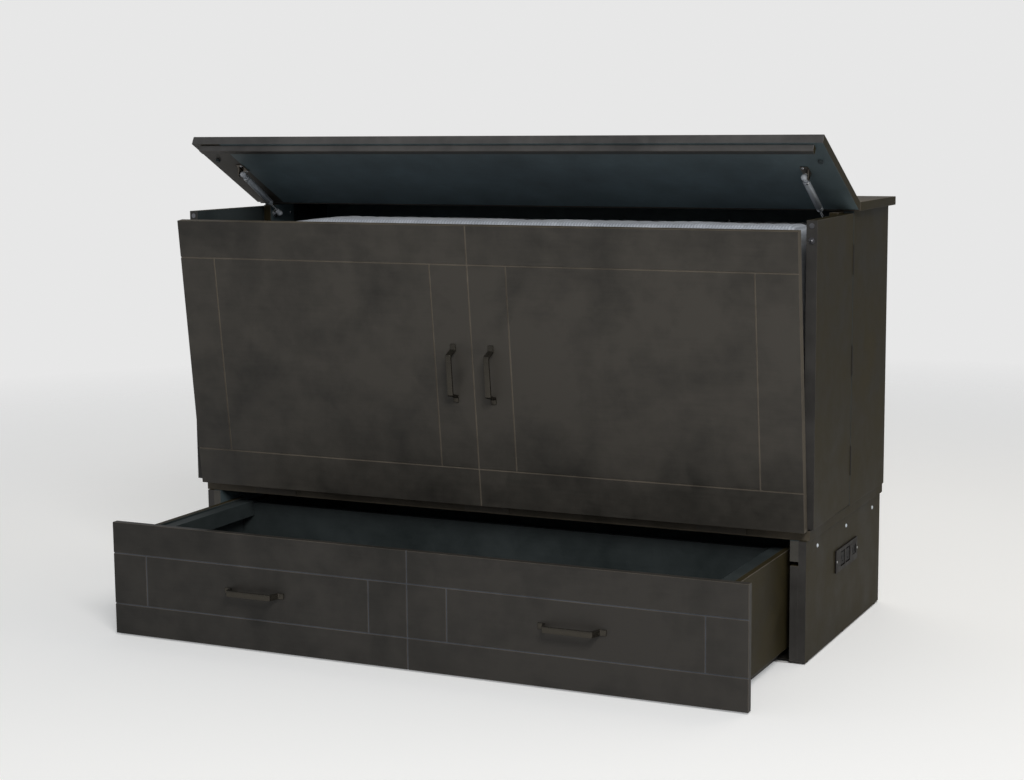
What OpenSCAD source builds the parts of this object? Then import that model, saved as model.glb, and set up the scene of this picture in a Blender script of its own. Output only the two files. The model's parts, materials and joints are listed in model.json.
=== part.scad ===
// Cabinet bed: a low wall-side chest that holds a folded mattress.
// X runs along the width, -Y is the front, +Y the wall side, +Z is up, units are millimetres.
// The origin is on the floor, under the middle of the base's back board.

/* [Cabinet] */
// Overall width over the two upper side boards
case_w = 1626; // [1560:2:1700]
// Depth from the back face to the front edge of a closed wing
case_d = 632; // [620:1:660]
// Thickness of the upper side boards and wings
side_t = 25; // [22:1:26]
// Depth of the fixed rear part of each side, from the back face to the seam
fixed_side_d = 316; // [300:1:330]
// Height of the fixed side boards' top edge above the floor
side_top_z = 1014; // [1008:1:1030]
// Height of the swing wings' top edge above the floor
wing_top_z = 1008; // [1004:1:1010]
// Width of the top boards
top_w = 1656; // [1630:2:1730]
// Thickness of the fixed top and of the lid
top_t = 21; // [18:1:24]
// Overhang of the fixed top behind the back face
top_back_overhang = 13; // [0:1:20]
// Thickness of the thin back board of the upper case
case_back_t = 12; // [9:1:15]

/* [Base] */
// Width over the two base side boards
base_w = 1608; // [1560:2:1612]
// Thickness of a base side board
base_side_t = 18; // [16:1:20]
// Thickness of the inner lining and cleats
lining_t = 20; // [16:1:22]
// Height of the deck surface that the mattress stands on
deck_z = 310; // [300:1:330]
// Thickness of the deck board
deck_t = 24; // [20:1:28]
// Width of the deck board
deck_w = 1620; // [1600:2:1626]
// Height of the inner lining's top edge
lining_top_z = 228; // [220:1:232]
// Height of the deck cleats
cleat_h = 48; // [40:1:50]
// Thickness of a floor glide
glide_h = 4; // [3:0.5:4]

/* [Lid] */
// Angle that the lid stands open at rest
lid_rest = 28; // [0:0.5:60]
// Depth of the filler strip under the lid's front edge, front to back
fascia_d = 17; // [12:1:18]
// Height of the filler strip
fascia_h = 16; // [12:1:17]
// Setback of the filler strip from the lid's front edge
fascia_inset = 8; // [6:1:10]
// Setback of the filler strip from each end of the lid
fascia_end_inset = 22; // [18:1:60]

/* [Front panel] */
// Width of the front panel
panel_w = 1612; // [1580:2:1616]
// Height of the front panel
panel_h = 684; // [660:1:685]
// Thickness of the front panel
panel_t = 22; // [20:1:24]
// Angle that the front panel leans out at rest
panel_rest = 6.3; // [0:0.1:30]
// Width of the imitation stiles and rails between routed grooves
stile_w = 100; // [80:1:120]
// Height of the imitation top and bottom rails
rail_w = 93; // [80:1:120]
// Width of a routed groove
groove_w = 3; // [2:0.5:5]
// Depth of a routed groove
groove_d = 2; // [1:0.5:3]

/* [Wings] */
// Angle that the right wing stands open at rest
wing_rest_right = 1; // [0:0.1:10]
// Angle that the left wing stands open at rest
wing_rest_left = 4.7; // [0:0.1:10]

/* [Drawer] */
// Width of the drawer front
drawer_w = 1610; // [1580:2:1612]
// Thickness of the drawer front
drawer_front_t = 18; // [16:1:18]
// Distance that the drawer stands open at rest
drawer_rest = 385; // [385:1:440]
// Height of the drawer front's top edge
drawer_top_z = 279; // [272:1:280]
// Height of the drawer front's bottom edge
drawer_bottom_z = 4; // [4:1:12]
// Thickness of the drawer's sides and back
box_t = 15; // [12:1:16]
// Depth of the drawer box behind its front
box_d = 465; // [440:1:480]
// Height of the drawer sides' top edge
box_top_z = 258; // [250:1:266]
// Length of the drawer slides
slide_len = 450; // [400:10:450]

/* [Pulls] */
// Length of a door pull over its two feet
door_pull_len = 144; // [120:1:144]
// Length of a drawer pull over its two feet
drawer_pull_len = 162; // [120:1:164]
// Projection of a pull from the board
pull_out = 31; // [24:1:33]
// Width of a pull across the bar
pull_w = 14; // [10:1:18]
// Height of the door pulls' centre above the front panel's bottom edge
door_pull_z = 328; // [320:1:328]
// Distance of the drawer pulls from the middle
drawer_pull_x = 405; // [200:1:600]

/* [Mattress] */
// Width of the folded mattress
mattress_w = 1474; // [1400:2:1474]
// Thickness of one of its three sections
mattress_t = 150; // [120:1:152]
// Height of the standing sections
mattress_h = 684; // [640:1:686]

/* [Foot deck] */
// Width of the folded foot deck board
foot_w = 1480; // [1400:2:1484]
// Thickness of the foot deck board
foot_t = 18; // [15:1:18]
// Length of the foot deck board
foot_len = 650; // [600:1:660]
// Length of a fold-out leg
leg_len = 288; // [260:1:300]

/* [Power outlet] */
// Length of the outlet plate
outlet_l = 184; // [160:1:200]
// Height of the outlet plate
outlet_h = 54; // [48:1:70]
// Height of the outlet's centre above the floor
outlet_z = 189; // [150:1:190]

/* [Gas struts] */
// Diameter of the strut's tube
tube_d = 16; // [15:0.5:18]
// Bore of the strut's tube
tube_bore = 12.6; // [12.6:0.2:13]
// Diameter of the strut's rod
rod_d = 4.4; // [4:0.2:4.8]
// Distance of each strut from the middle of the cabinet
strut_x = 751; // [749:1:752]

/* [Hidden] */
$fn = 48;
slip = 0.1;                             // gap between two leaves of one hinge
base_back_t = 18;
back_y = base_back_t / 2;               // back face of the cabinet
seam_y = back_y - fixed_side_d;         // pivot line of the wings
front_y = back_y - case_d;              // front edge of deck, sides and closed wings
panel_y = front_y - 6;                  // inner face of the closed front panel
face_y = panel_y - panel_t;             // outer face of the closed front panel
case_x = case_w / 2;
inner_x = case_x - side_t;
base_x = base_w / 2;
lining_x = base_x - base_side_t;        // outer face of the linings
base_inner_x = lining_x - lining_t;     // inner face of the linings
base_front_y = front_y - 7;
deck_under_z = deck_z - deck_t;
top_z = side_top_z + top_t;
lid_y = seam_y - 1;                     // pivot line of the lid
lid_front_y = face_y;
hinge_t = 1.5;
leaf_gap = hinge_t + slip;              // from a pivot line to a board's end face
barrel_r = 3.5;
wing_barrel_r = 2.2;
pin_r = 1.3;
pin_slip = 0.05;
knuckles = 5;
knuckle_gap = 0.4;
panel_z = deck_z + leaf_gap;            // bottom edge of the closed front panel
stile_y = seam_y + leaf_gap;            // front edge of the fixed sides
stile_front_y = seam_y - 45;            // front edge of the stiles inside the seam
stile_d = 70;
stile_t = 22;
wing_clearance = 0.3;                   // between a stile and the closed wing beside it
stile_x = inner_x - stile_t;            // inner face of the stiles
rail_t = 20;
rear_rail_y = back_y - case_back_t - rail_t;
top_rail_h = 90;
anchor_x = 406;
anchor_z = side_top_z - top_rail_h / 2;
anchor_r = 4;

box_x = base_inner_x - 12;              // outer face of the drawer box
slide_x = box_x - box_t - 16;           // middle line of the slides under the drawer bottom
slide_gauge = 1.3;
outer_half_w = 18.6;                    // half widths of the nested slide members
middle_half_w = 16.1;
inner_half_w = 12.9;
outer_web_z = 6;
drawer_y = face_y - drawer_rest;        // outer face of the drawer front at rest
box_y = drawer_y + drawer_front_t;      // front end of the drawer box at rest
box_bottom_z = 28;
slide_y = front_y + 1;                  // front end of the closed slides

bolt_ys = [-542, -303, -66];
bolt_z = 260;
bolt_r = 3;
outlet_y = -304;
outlet_plate_t = 4;
socket_ys = [-340, -296];
usb_y = -241;
screw_y = 87.5;

strut_low_y = -332;
strut_low_z = 990;
strut_arm = 203;                        // from the lid's rear end to the upper ball
strut_drop = 16;                        // of the upper ball below the lid
ball_r = 4;
eye_r = 7;
eye_w = 9;
tube_len = 152;
rod_len = 135;
// The upper ball at rest, turned with the lid about its pivot line
ball_dy = -strut_arm * cos(lid_rest) - (top_t + strut_drop) * sin(lid_rest);
ball_dz = strut_arm * sin(lid_rest) - (top_t + strut_drop) * cos(lid_rest);
strut_up_y = lid_y + ball_dy;
strut_up_z = top_z + ball_dz;
strut_dy = strut_up_y - strut_low_y;
strut_dz = strut_up_z - strut_low_z;
strut_slope = atan2(strut_dz, -strut_dy);
strut_lean = 0.7;                       // keeps both halves nearly in line over the travel

foot_y = panel_y + leaf_gap;            // face of the folded foot board next to the panel
foot_z = deck_z + 24;
leg_x = 560;
leg_w = 45;
leg_t = 20;
mattress_y = foot_y + foot_t + leg_t + 6;   // front face of the folded mattress
section_gap = 2;

espresso = [0.23, 0.19, 0.17];
espresso_dark = [0.16, 0.15, 0.15];
bronze = [0.29, 0.27, 0.24];
steel = [0.72, 0.73, 0.75];
tube_grey = [0.62, 0.64, 0.67];
ticking = [0.88, 0.88, 0.90];

// ---- helpers -------------------------------------------------------------------------

// Box between two opposite corners
module span(a, b) {
    translate(a) cube(b - a);
}

// The same child on the left and on the right
module both_sides() {
    children();
    mirror([1, 0, 0]) children();
}

// Turn children about an X line through (y, z); a positive angle tips the front down
module swing_x(y, z, angle) {
    translate([0, y, z]) rotate([angle, 0, 0]) translate([0, -y, -z]) children();
}

module in_lid_pose() {
    swing_x(lid_y, top_z, -lid_rest) children();
}

module in_panel_pose() {
    swing_x(panel_y, deck_z, panel_rest) children();
}

// Wings turn outwards about the vertical seam line; side is 1 on the right, -1 on the left
module in_wing_pose(side, angle) {
    translate([side * case_x, seam_y, 0]) rotate([0, 0, side * angle])
        translate([-side * case_x, -seam_y, 0]) children();
}

// Knuckles along X for one half of a hinge: parity 0 has the outer knuckles and the pin
module knuckle_row(len, r, parity) {
    pitch = len / knuckles;
    difference() {
        for (i = [parity : 2 : knuckles - 1])
            translate([-len / 2 + i * pitch + knuckle_gap / 2, 0, 0])
                rotate([0, 90, 0]) cylinder(r = r, h = pitch - knuckle_gap);
        if (parity == 1)
            translate([-len / 2, 0, 0]) rotate([0, 90, 0])
                cylinder(r = pin_r + pin_slip, h = len);
    }
    if (parity == 0)
        translate([-len / 2 + pitch / 2, 0, 0]) rotate([0, 90, 0])
            cylinder(r = pin_r, h = len - pitch);
}

// Tabs that join each knuckle of one parity to its leaf
module knuckle_tabs(len, parity, a, b) {
    pitch = len / knuckles;
    for (i = [parity : 2 : knuckles - 1]) {
        x = -len / 2 + i * pitch + knuckle_gap / 2;
        translate([x, 0, 0]) span([0, a.x, a.y], [pitch - knuckle_gap, b.x, b.y]);
    }
}

// One hinge half whose leaf hangs down from a barrel on the X axis.
// Parity 0 is on the +Y side of the joint, parity 1 on the -Y side.
module hanging_leaf(len, r, w, parity) {
    side = parity == 0 ? 0 : -leaf_gap - slip;
    difference() {
        union() {
            knuckle_row(len, r, parity);
            span([-len / 2, side + slip, -w], [len / 2, side + leaf_gap, -r - 0.4]);
            knuckle_tabs(len, parity, [side + slip, -r - 1], [side + leaf_gap, -pin_r - 0.4]);
        }
        if (parity == 1)
            translate([-len / 2, 0, 0]) rotate([0, 90, 0])
                cylinder(r = pin_r + pin_slip, h = len);
    }
}

// Room cut for a barrel in the corner of a board
module barrel_room(len, r) {
    span([-len / 2 - 1, -r - 0.5, -r - 0.5], [len / 2 + 1, r + 0.5, r + 0.5]);
}

module at_each(xs) {
    for (x = xs) translate([x, 0, 0]) children();
}

// Plain disc, ring or shaft along X
module disc_x(r, h) {
    rotate([0, 90, 0]) cylinder(r = r, h = h);
}

// ---- base ----------------------------------------------------------------------------

module base_side() {
    difference() {
        span([lining_x, base_front_y, glide_h], [base_x, back_y, deck_under_z]);
        for (y = bolt_ys) translate([lining_x - 1, y, bolt_z]) disc_x(bolt_r + 0.2, 30);
    }
}

module base_side_left() {
    color(espresso) mirror([1, 0, 0]) base_side();
}

// The right side has the cut-out for the power outlet
module base_side_right() {
    color(espresso) difference() {
        base_side();
        outlet_cutout();
        for (s = [-1, 1]) translate([base_x - 5, outlet_y + s * screw_y, outlet_z]) disc_x(1.7, 6);
    }
}

module outlet_cutout() {
    span([lining_x - lining_t - 1, outlet_y - outlet_l / 2 + 8, outlet_z - outlet_h / 2 + 6],
         [base_x + 1, outlet_y + outlet_l / 2 - 8, outlet_z + outlet_h / 2 - 6]);
}

module base_linings() {
    color(espresso) difference() {
        both_sides()
            span([base_inner_x, base_front_y, glide_h], [lining_x, -back_y, lining_top_z]);
        outlet_cutout();
    }
}

module deck_cleats() {
    color(espresso) {
        both_sides() difference() {
            span([base_inner_x, base_front_y, deck_under_z - cleat_h],
                 [lining_x, -back_y, deck_under_z]);
            for (y = bolt_ys) translate([base_inner_x - 1, y, bolt_z]) disc_x(bolt_r + 0.2, 30);
        }
        span([-base_inner_x, -back_y - lining_t, deck_under_z - cleat_h],
             [base_inner_x, -back_y, deck_under_z]);
    }
}

module base_back() {
    color(espresso_dark) span([-lining_x, -back_y, glide_h], [lining_x, back_y, deck_under_z]);
}

module floor_glides() {
    glide_x = base_x - base_side_t / 2;
    spots = [[0, 0], [-glide_x, -20], [glide_x, -20], [-glide_x, -310], [glide_x, -310],
             [-glide_x, base_front_y + 25], [glide_x, base_front_y + 25]];
    color([0.12, 0.12, 0.12]) for (s = spots)
        translate([s.x, s.y, 0]) cylinder(d = base_side_t - 2, h = glide_h);
}

// Mushroom-headed bolts through the base sides into the cleats
module base_bolts() {
    color(steel) both_sides() for (y = bolt_ys) translate([base_inner_x + 4, y, bolt_z]) {
        disc_x(bolt_r, base_side_t + lining_t - 4);
        translate([base_side_t + lining_t - 4, 0, 0]) rotate([0, 90, 0])
            cylinder(r1 = 5.5, r2 = 3.5, h = 2.4);
    }
}

// ---- power outlet ----------------------------------------------------------------------

module outlet_window(y, w, h) {
    span([base_x - 1, y - w / 2, outlet_z - h / 2],
         [base_x + outlet_plate_t + 1, y + w / 2, outlet_z + h / 2]);
}

module outlet_plate() {
    color([0.10, 0.10, 0.11]) difference() {
        span([base_x, outlet_y - outlet_l / 2, outlet_z - outlet_h / 2],
             [base_x + outlet_plate_t, outlet_y + outlet_l / 2, outlet_z + outlet_h / 2]);
        for (y = socket_ys) outlet_window(y, 34, 36);
        outlet_window(usb_y, 32, 22);
        for (s = [-1, 1]) translate([base_x - 1, outlet_y + s * screw_y, outlet_z])
            disc_x(1.7, outlet_plate_t + 2);
    }
}

module outlet_box() {
    l = outlet_l - 20;
    h = outlet_h - 16;
    color([0.15, 0.15, 0.16]) difference() {
        span([base_x - 34, outlet_y - l / 2, outlet_z - h / 2],
             [base_x, outlet_y + l / 2, outlet_z + h / 2]);
        span([base_x - 31.5, outlet_y - l / 2 + 2.5, outlet_z - h / 2 + 2.5],
             [base_x + 1, outlet_y + l / 2 - 2.5, outlet_z + h / 2 - 2.5]);
    }
}

// Each socket block has two blade slots and a round earth hole
module power_sockets() {
    color([0.20, 0.20, 0.22]) for (y = socket_ys) difference() {
        span([base_x - 20, y - 16, outlet_z - 15], [base_x + outlet_plate_t - 1, y + 16, outlet_z + 15]);
        for (s = [-1, 1])
            translate([base_x - 8, y + s * 6.4 - 1, outlet_z - 2]) cube([20, 2, 9]);
        translate([base_x - 8, y, outlet_z - 8]) disc_x(2.4, 20);
    }
}

module usb_ports() {
    color([0.20, 0.20, 0.22]) difference() {
        span([base_x - 20, usb_y - 15, outlet_z - 10],
             [base_x + outlet_plate_t - 1, usb_y + 15, outlet_z + 10]);
        for (s = [-1, 1])
            translate([base_x - 8, usb_y + s * 7 - 2.6, outlet_z - 6.5]) cube([20, 5.2, 13]);
    }
}

module outlet_screws() {
    color(steel) for (s = [-1, 1]) translate([base_x - 3, outlet_y + s * screw_y, outlet_z]) {
        disc_x(1.5, 3 + outlet_plate_t);
        translate([3 + outlet_plate_t, 0, 0]) disc_x(3, 1.2);
    }
}

// ---- drawer slides ---------------------------------------------------------------------

// A folded strip along Y with a level web at web_z and two lips that reach to lip_z
module channel(half_w, web_z, lip_z, y0) {
    translate([slide_x, y0, 0]) {
        span([-half_w, 0, web_z], [half_w, slide_len, web_z + slide_gauge]);
        for (x = [-half_w, half_w - slide_gauge])
            span([x, 0, min(web_z, lip_z)],
                 [x + slide_gauge, slide_len, max(web_z + slide_gauge, lip_z)]);
    }
}

// The outer member has a flange that is screwed to the lining
module slide_outer_members() {
    color(steel) both_sides() {
        channel(outer_half_w, outer_web_z, 16, slide_y);
        span([slide_x + outer_half_w - slide_gauge, slide_y, outer_web_z],
             [base_inner_x, slide_y + slide_len, outer_web_z + slide_gauge]);
    }
}

module slide_middle_members() {
    color(steel) both_sides()
        channel(middle_half_w, outer_web_z + 2.6, 20, slide_y - drawer_rest / 2);
}

// The inner member hangs under the drawer bottom
module slide_inner_members() {
    color(steel) both_sides()
        channel(inner_half_w, box_bottom_z + 2 - slide_gauge, 12, slide_y - drawer_rest);
}

// ---- upper case ------------------------------------------------------------------------

module deck_board() {
    color(espresso) span([-deck_w / 2, front_y, deck_under_z], [deck_w / 2, back_y, deck_z]);
}

wing_hinge_zs = [420, 660, 900];
wing_hinge_len = 72;

// Vertical hinge line of a right wing
module at_wing_hinges() {
    for (z = wing_hinge_zs) translate([case_x, seam_y, z]) rotate([0, -90, 180]) children();
}

module cabinet_side() {
    difference() {
        span([inner_x, stile_y, deck_z], [case_x, back_y, side_top_z]);
        at_wing_hinges() barrel_room(wing_hinge_len, wing_barrel_r);
    }
}

module cabinet_side_left() {
    color(espresso) mirror([1, 0, 0]) cabinet_side();
}

module cabinet_side_right() {
    color(espresso) cabinet_side();
}

module anchor_holes() {
    for (s = [-1, 1]) translate([s * anchor_x, back_y + 1, anchor_z]) rotate([90, 0, 0])
        cylinder(r = anchor_r, h = 60);
}

module cabinet_back() {
    color(espresso_dark) difference() {
        span([-inner_x, back_y - case_back_t, deck_z], [inner_x, back_y, side_top_z]);
        anchor_holes();
    }
}

module rear_rails() {
    y1 = back_y - case_back_t;
    color(espresso) {
        difference() {
            span([-inner_x, rear_rail_y, side_top_z - top_rail_h], [inner_x, y1, side_top_z]);
            anchor_holes();
        }
        span([-inner_x, rear_rail_y, deck_z], [inner_x, y1, deck_z + 60]);
    }
}

module side_stiles() {
    color(espresso) both_sides()
        span([stile_x, stile_front_y, deck_z],
             [inner_x - wing_clearance, stile_y + stile_d, side_top_z - 2]);
}

lid_hinge_xs = [-660, -220, 220, 660];
lid_hinge_len = 100;

module lid_hinge_room() {
    at_each(lid_hinge_xs) translate([0, lid_y, top_z]) barrel_room(lid_hinge_len, barrel_r);
}

module fixed_top() {
    color(espresso) difference() {
        span([-top_w / 2, lid_y + leaf_gap, side_top_z],
             [top_w / 2, back_y + top_back_overhang, top_z]);
        lid_hinge_room();
    }
}

module lid_hinge_fixed_leaves() {
    color(bronze) at_each(lid_hinge_xs) translate([0, lid_y, top_z])
        hanging_leaf(lid_hinge_len, barrel_r, top_t - 2, 0);
}

module wing_hinge_fixed_leaves() {
    color(bronze) both_sides() at_wing_hinges() mirror([0, 1, 0])
        hanging_leaf(wing_hinge_len, wing_barrel_r, side_t - 2, 0);
}

panel_hinge_xs = [-600, 0, 600];
panel_hinge_len = 120;

// The fixed leaf is screwed to the deck's front edge and reaches forward to its barrel
module panel_hinge_fixed_leaves() {
    reach = front_y - panel_y;
    color(bronze) at_each(panel_hinge_xs) translate([0, panel_y, deck_z]) {
        knuckle_row(panel_hinge_len, barrel_r, 0);
        knuckle_tabs(panel_hinge_len, 0, [pin_r + 0.2, -2.6], [reach, -1.2]);
        span([-panel_hinge_len / 2, reach - 1.4, -deck_t + 2], [panel_hinge_len / 2, reach, -1.2]);
    }
}

// Round plate, neck and ball that carries the lower end of each strut
module strut_lower_mounts() {
    color(steel) both_sides() translate([0, strut_low_y, strut_low_z]) {
        translate([stile_x - 2, 0, 0]) disc_x(13, 2);
        translate([strut_x, 0, 0]) disc_x(2.3, stile_x - 2 - strut_x);
        translate([strut_x, 0, 0]) sphere(r = ball_r);
    }
}

// ---- mattress --------------------------------------------------------------------------

module mattress_section(index) {
    y = mattress_y + index * (mattress_t + section_gap);
    color(ticking) span([-mattress_w / 2, y, deck_z + 1],
                        [mattress_w / 2, y + mattress_t, deck_z + 1 + mattress_h]);
}

module mattress_foot() {
    mattress_section(0);
}

module mattress_middle() {
    mattress_section(1);
}

module mattress_head() {
    mattress_section(2);
}

// ---- lid -------------------------------------------------------------------------------

module lid_board() {
    color(espresso) in_lid_pose() difference() {
        span([-top_w / 2, lid_front_y, side_top_z], [top_w / 2, lid_y - leaf_gap, top_z]);
        lid_hinge_room();
    }
}

module lid_fascia() {
    x = top_w / 2 - fascia_end_inset;
    y = lid_front_y + fascia_inset;
    color(espresso) in_lid_pose()
        span([-x, y, side_top_z - fascia_h], [x, y + fascia_d, side_top_z]);
}

module lid_hinge_moving_leaves() {
    color(bronze) in_lid_pose() at_each(lid_hinge_xs) translate([0, lid_y, top_z])
        hanging_leaf(lid_hinge_len, barrel_r, top_t - 2, 1);
}

// Foot plate on the lid, upright ear, neck and ball
module strut_upper_mounts() {
    y = lid_y - strut_arm;
    z = side_top_z - strut_drop;
    color(steel) in_lid_pose() both_sides() {
        span([strut_x + 9, y - 20, side_top_z - 2], [strut_x + 28, y + 20, side_top_z]);
        span([strut_x + 9, y - 9, z - 8], [strut_x + 12, y + 9, side_top_z - 2]);
        translate([strut_x, y, z]) disc_x(2.3, 9);
        translate([strut_x, y, z]) sphere(r = ball_r);
    }
}

module lid_bumpers() {
    color([0.10, 0.10, 0.10]) in_lid_pose() both_sides()
        translate([case_x - side_t / 2, front_y + 60, wing_top_z + 0.5])
            cylinder(d = 12, h = side_top_z - wing_top_z - 0.5);
}

// ---- front panel -------------------------------------------------------------------------

// Grooves in a front board: full-width rails, short stiles and a full-height middle line
module routed_lines(w, z0, z1, low, high, stile_x1) {
    y0 = -1;
    y1 = groove_d;
    g = groove_w / 2;
    for (z = [low, high]) span([-w / 2 - 1, y0, z - g], [w / 2 + 1, y1, z + g]);
    for (x = [-stile_x1, -stile_w, stile_w, stile_x1]) span([x - g, y0, low], [x + g, y1, high]);
    span([-g, y0, z0 - 1], [g, y1, z1 + 1]);
}

strike_w = 13;
strike_h = 44;
strike_z = wing_top_z - 68;

module strike_plate_shape() {
    both_sides() span([panel_w / 2 - 1 - strike_w, panel_y - hinge_t, strike_z],
                      [panel_w / 2 - 1, panel_y, strike_z + strike_h]);
}

module front_panel_board() {
    top = panel_z + panel_h;
    color(espresso) in_panel_pose() difference() {
        span([-panel_w / 2, face_y, panel_z], [panel_w / 2, panel_y, top]);
        translate([0, face_y, 0]) routed_lines(panel_w, panel_z, top,
            panel_z + rail_w, top - rail_w, panel_w / 2 - stile_w);
        at_each(panel_hinge_xs) translate([0, panel_y, deck_z])
            barrel_room(panel_hinge_len, barrel_r);
        strike_plate_shape();
    }
}

// Side view of a pull, length along X and projection along -Y, extruded across its width
module pull(len) {
    half = len / 2;
    outer = [[half, 0], [half, 3], [half - 11, 4], [half - 15, 10], [half - 17, pull_out - 5],
             [half - 22, pull_out]];
    inner = [[half - 26, pull_out - 8], [half - 23, 9], [half - 19, 0]];
    left = function (ps) [for (i = [len(ps) - 1 : -1 : 0]) [-ps[i].x, ps[i].y]];
    outline = concat(outer, left(outer), left(inner), inner);
    rotate([180, 0, 0]) translate([0, 0, -pull_w / 2]) linear_extrude(pull_w)
        polygon(outline);
}

module door_pulls() {
    color(bronze) in_panel_pose() both_sides()
        translate([stile_w / 2, face_y, panel_z + door_pull_z]) rotate([0, 90, 0])
            pull(door_pull_len);
}

module panel_hinge_moving_leaves() {
    color(bronze) in_panel_pose() at_each(panel_hinge_xs) translate([0, panel_y, deck_z])
        rotate([-90, 0, 0]) hanging_leaf(panel_hinge_len, barrel_r, panel_t - 2, 1);
}

module strike_plates() {
    color(steel) in_panel_pose() strike_plate_shape();
}

// The foot deck board is folded flat against the panel's inner face
module foot_deck_board() {
    color(espresso) in_panel_pose()
        span([-foot_w / 2, foot_y, foot_z], [foot_w / 2, foot_y + foot_t, foot_z + foot_len]);
}

module foot_hinges() {
    z = foot_z + foot_len;
    color(bronze) in_panel_pose() at_each([-560, 0, 560]) {
        span([-50, panel_y, z - 30], [50, panel_y + hinge_t, z + 5]);
        span([-50, panel_y + 2, z], [50, foot_y + foot_t, z + hinge_t]);
        translate([-50, panel_y + 3, z + 3]) disc_x(3, 100);
    }
}

// Two legs, folded flat against the foot board
module foot_legs() {
    y = foot_y + foot_t;
    color(espresso) in_panel_pose() both_sides()
        span([leg_x - leg_w / 2, y, foot_z + 16], [leg_x + leg_w / 2, y + leg_t, foot_z + 16 + leg_len]);
}

module foot_leg_brackets() {
    y = foot_y + foot_t;
    color(steel) in_panel_pose() both_sides() for (s = [-1, 1]) {
        x = leg_x + s * (leg_w / 2 + 1.25);
        span([x - 1.25, y, foot_z + 8], [x + 1.25, y + leg_t, foot_z + 60]);
        span([min(x, x + s * 16), y, foot_z + 8], [max(x, x + s * 16), y + 2.5, foot_z + 60]);
    }
}

// ---- wings -----------------------------------------------------------------------------

module wing_board() {
    difference() {
        span([inner_x, front_y, deck_z + 3], [case_x, seam_y - leaf_gap, wing_top_z]);
        at_wing_hinges() barrel_room(wing_hinge_len, wing_barrel_r);
    }
}

module wing_hinge_leaves() {
    at_wing_hinges() mirror([0, 1, 0])
        hanging_leaf(wing_hinge_len, wing_barrel_r, side_t - 2, 1);
}

// A flat stop disc and a domed catch on the wing's front edge
module wing_catch() {
    x = case_x - side_t / 2;
    translate([x, front_y, wing_top_z - 12]) rotate([90, 0, 0]) cylinder(d = 12, h = 1);
    translate([x, front_y, wing_top_z - 45]) rotate([90, 0, 0]) {
        cylinder(d = 15, h = 1.2);
        cylinder(d = 9, h = 3.4);
        translate([0, 0, 1.2]) intersection() {
            sphere(d = 7.6);
            cylinder(d = 9, h = 5);
        }
    }
}

module wing_left_board() {
    color(espresso) in_wing_pose(-1, wing_rest_left) mirror([1, 0, 0]) wing_board();
}

module wing_left_hinge_leaves() {
    color(bronze) in_wing_pose(-1, wing_rest_left) mirror([1, 0, 0]) wing_hinge_leaves();
}

module wing_left_catch() {
    color(steel) in_wing_pose(-1, wing_rest_left) mirror([1, 0, 0]) wing_catch();
}

module wing_right_board() {
    color(espresso) in_wing_pose(1, wing_rest_right) wing_board();
}

module wing_right_hinge_leaves() {
    color(bronze) in_wing_pose(1, wing_rest_right) wing_hinge_leaves();
}

module wing_right_catch() {
    color(steel) in_wing_pose(1, wing_rest_right) wing_catch();
}

// ---- drawer ----------------------------------------------------------------------------

module drawer_front() {
    low = drawer_bottom_z + 74;
    high = drawer_top_z - 76;
    color(espresso) difference() {
        span([-drawer_w / 2, drawer_y, drawer_bottom_z],
             [drawer_w / 2, drawer_y + drawer_front_t, drawer_top_z]);
        translate([0, drawer_y, 0]) routed_lines(drawer_w, drawer_bottom_z, drawer_top_z,
            low, high, drawer_w / 2 - stile_w + 5);
    }
}

module drawer_side() {
    span([box_x - box_t, box_y, box_bottom_z], [box_x, box_y + box_d, box_top_z]);
}

module drawer_side_left() {
    color(espresso) mirror([1, 0, 0]) drawer_side();
}

module drawer_side_right() {
    color(espresso) drawer_side();
}

module drawer_bottom() {
    x = box_x - box_t;
    color(espresso_dark) span([-x, box_y, box_bottom_z + 2], [x, box_y + box_d, box_bottom_z + 14]);
}

module drawer_back() {
    x = box_x - box_t;
    color(espresso_dark) span([-x, box_y + box_d - box_t, box_bottom_z + 14],
                              [x, box_y + box_d, box_top_z - 10]);
}

// Rails along the inside of the drawer sides, with a slot beside each side board
module drawer_inner_rails() {
    x1 = box_x - box_t;
    x0 = x1 - 36;
    z1 = box_top_z - 4;
    color(espresso) both_sides() difference() {
        span([x0, box_y, z1 - 40], [x1, box_y + box_d - box_t, z1]);
        span([x1 - 3, box_y - 1, z1 - 12], [x1 + 1, box_y + box_d, z1 + 1]);
    }
}

module drawer_pulls() {
    z = (drawer_bottom_z + drawer_top_z) / 2;
    color(bronze) at_each([-drawer_pull_x, drawer_pull_x]) translate([0, drawer_y, z])
        pull(drawer_pull_len);
}

// ---- gas struts ------------------------------------------------------------------------

// Eye that turns on a ball stud
module strut_eye() {
    difference() {
        translate([-eye_w / 2, 0, 0]) disc_x(eye_r, eye_w);
        translate([-eye_w / 2 - 1, 0, 0]) disc_x(ball_r + 0.4, eye_w + 2);
    }
}

// The tube hangs on the lid's ball and points to the cabinet's ball
module strut_tube(side) {
    translate([side * strut_x, strut_up_y, strut_up_z]) rotate([strut_lean - strut_slope, 0, 0]) {
        strut_eye();
        difference() {
            rotate([-90, 0, 0]) union() {
                translate([0, 0, eye_r - 1]) cylinder(r = 4.5, h = 8);
                translate([0, 0, eye_r + 6]) cylinder(d = tube_d, h = tube_len - eye_r - 6);
            }
            rotate([-90, 0, 0]) translate([0, 0, 30]) cylinder(d = tube_bore, h = tube_len);
            translate([-eye_w / 2 - 5, 0, 0]) disc_x(ball_r + 0.4, eye_w + 10);
        }
    }
}

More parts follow.
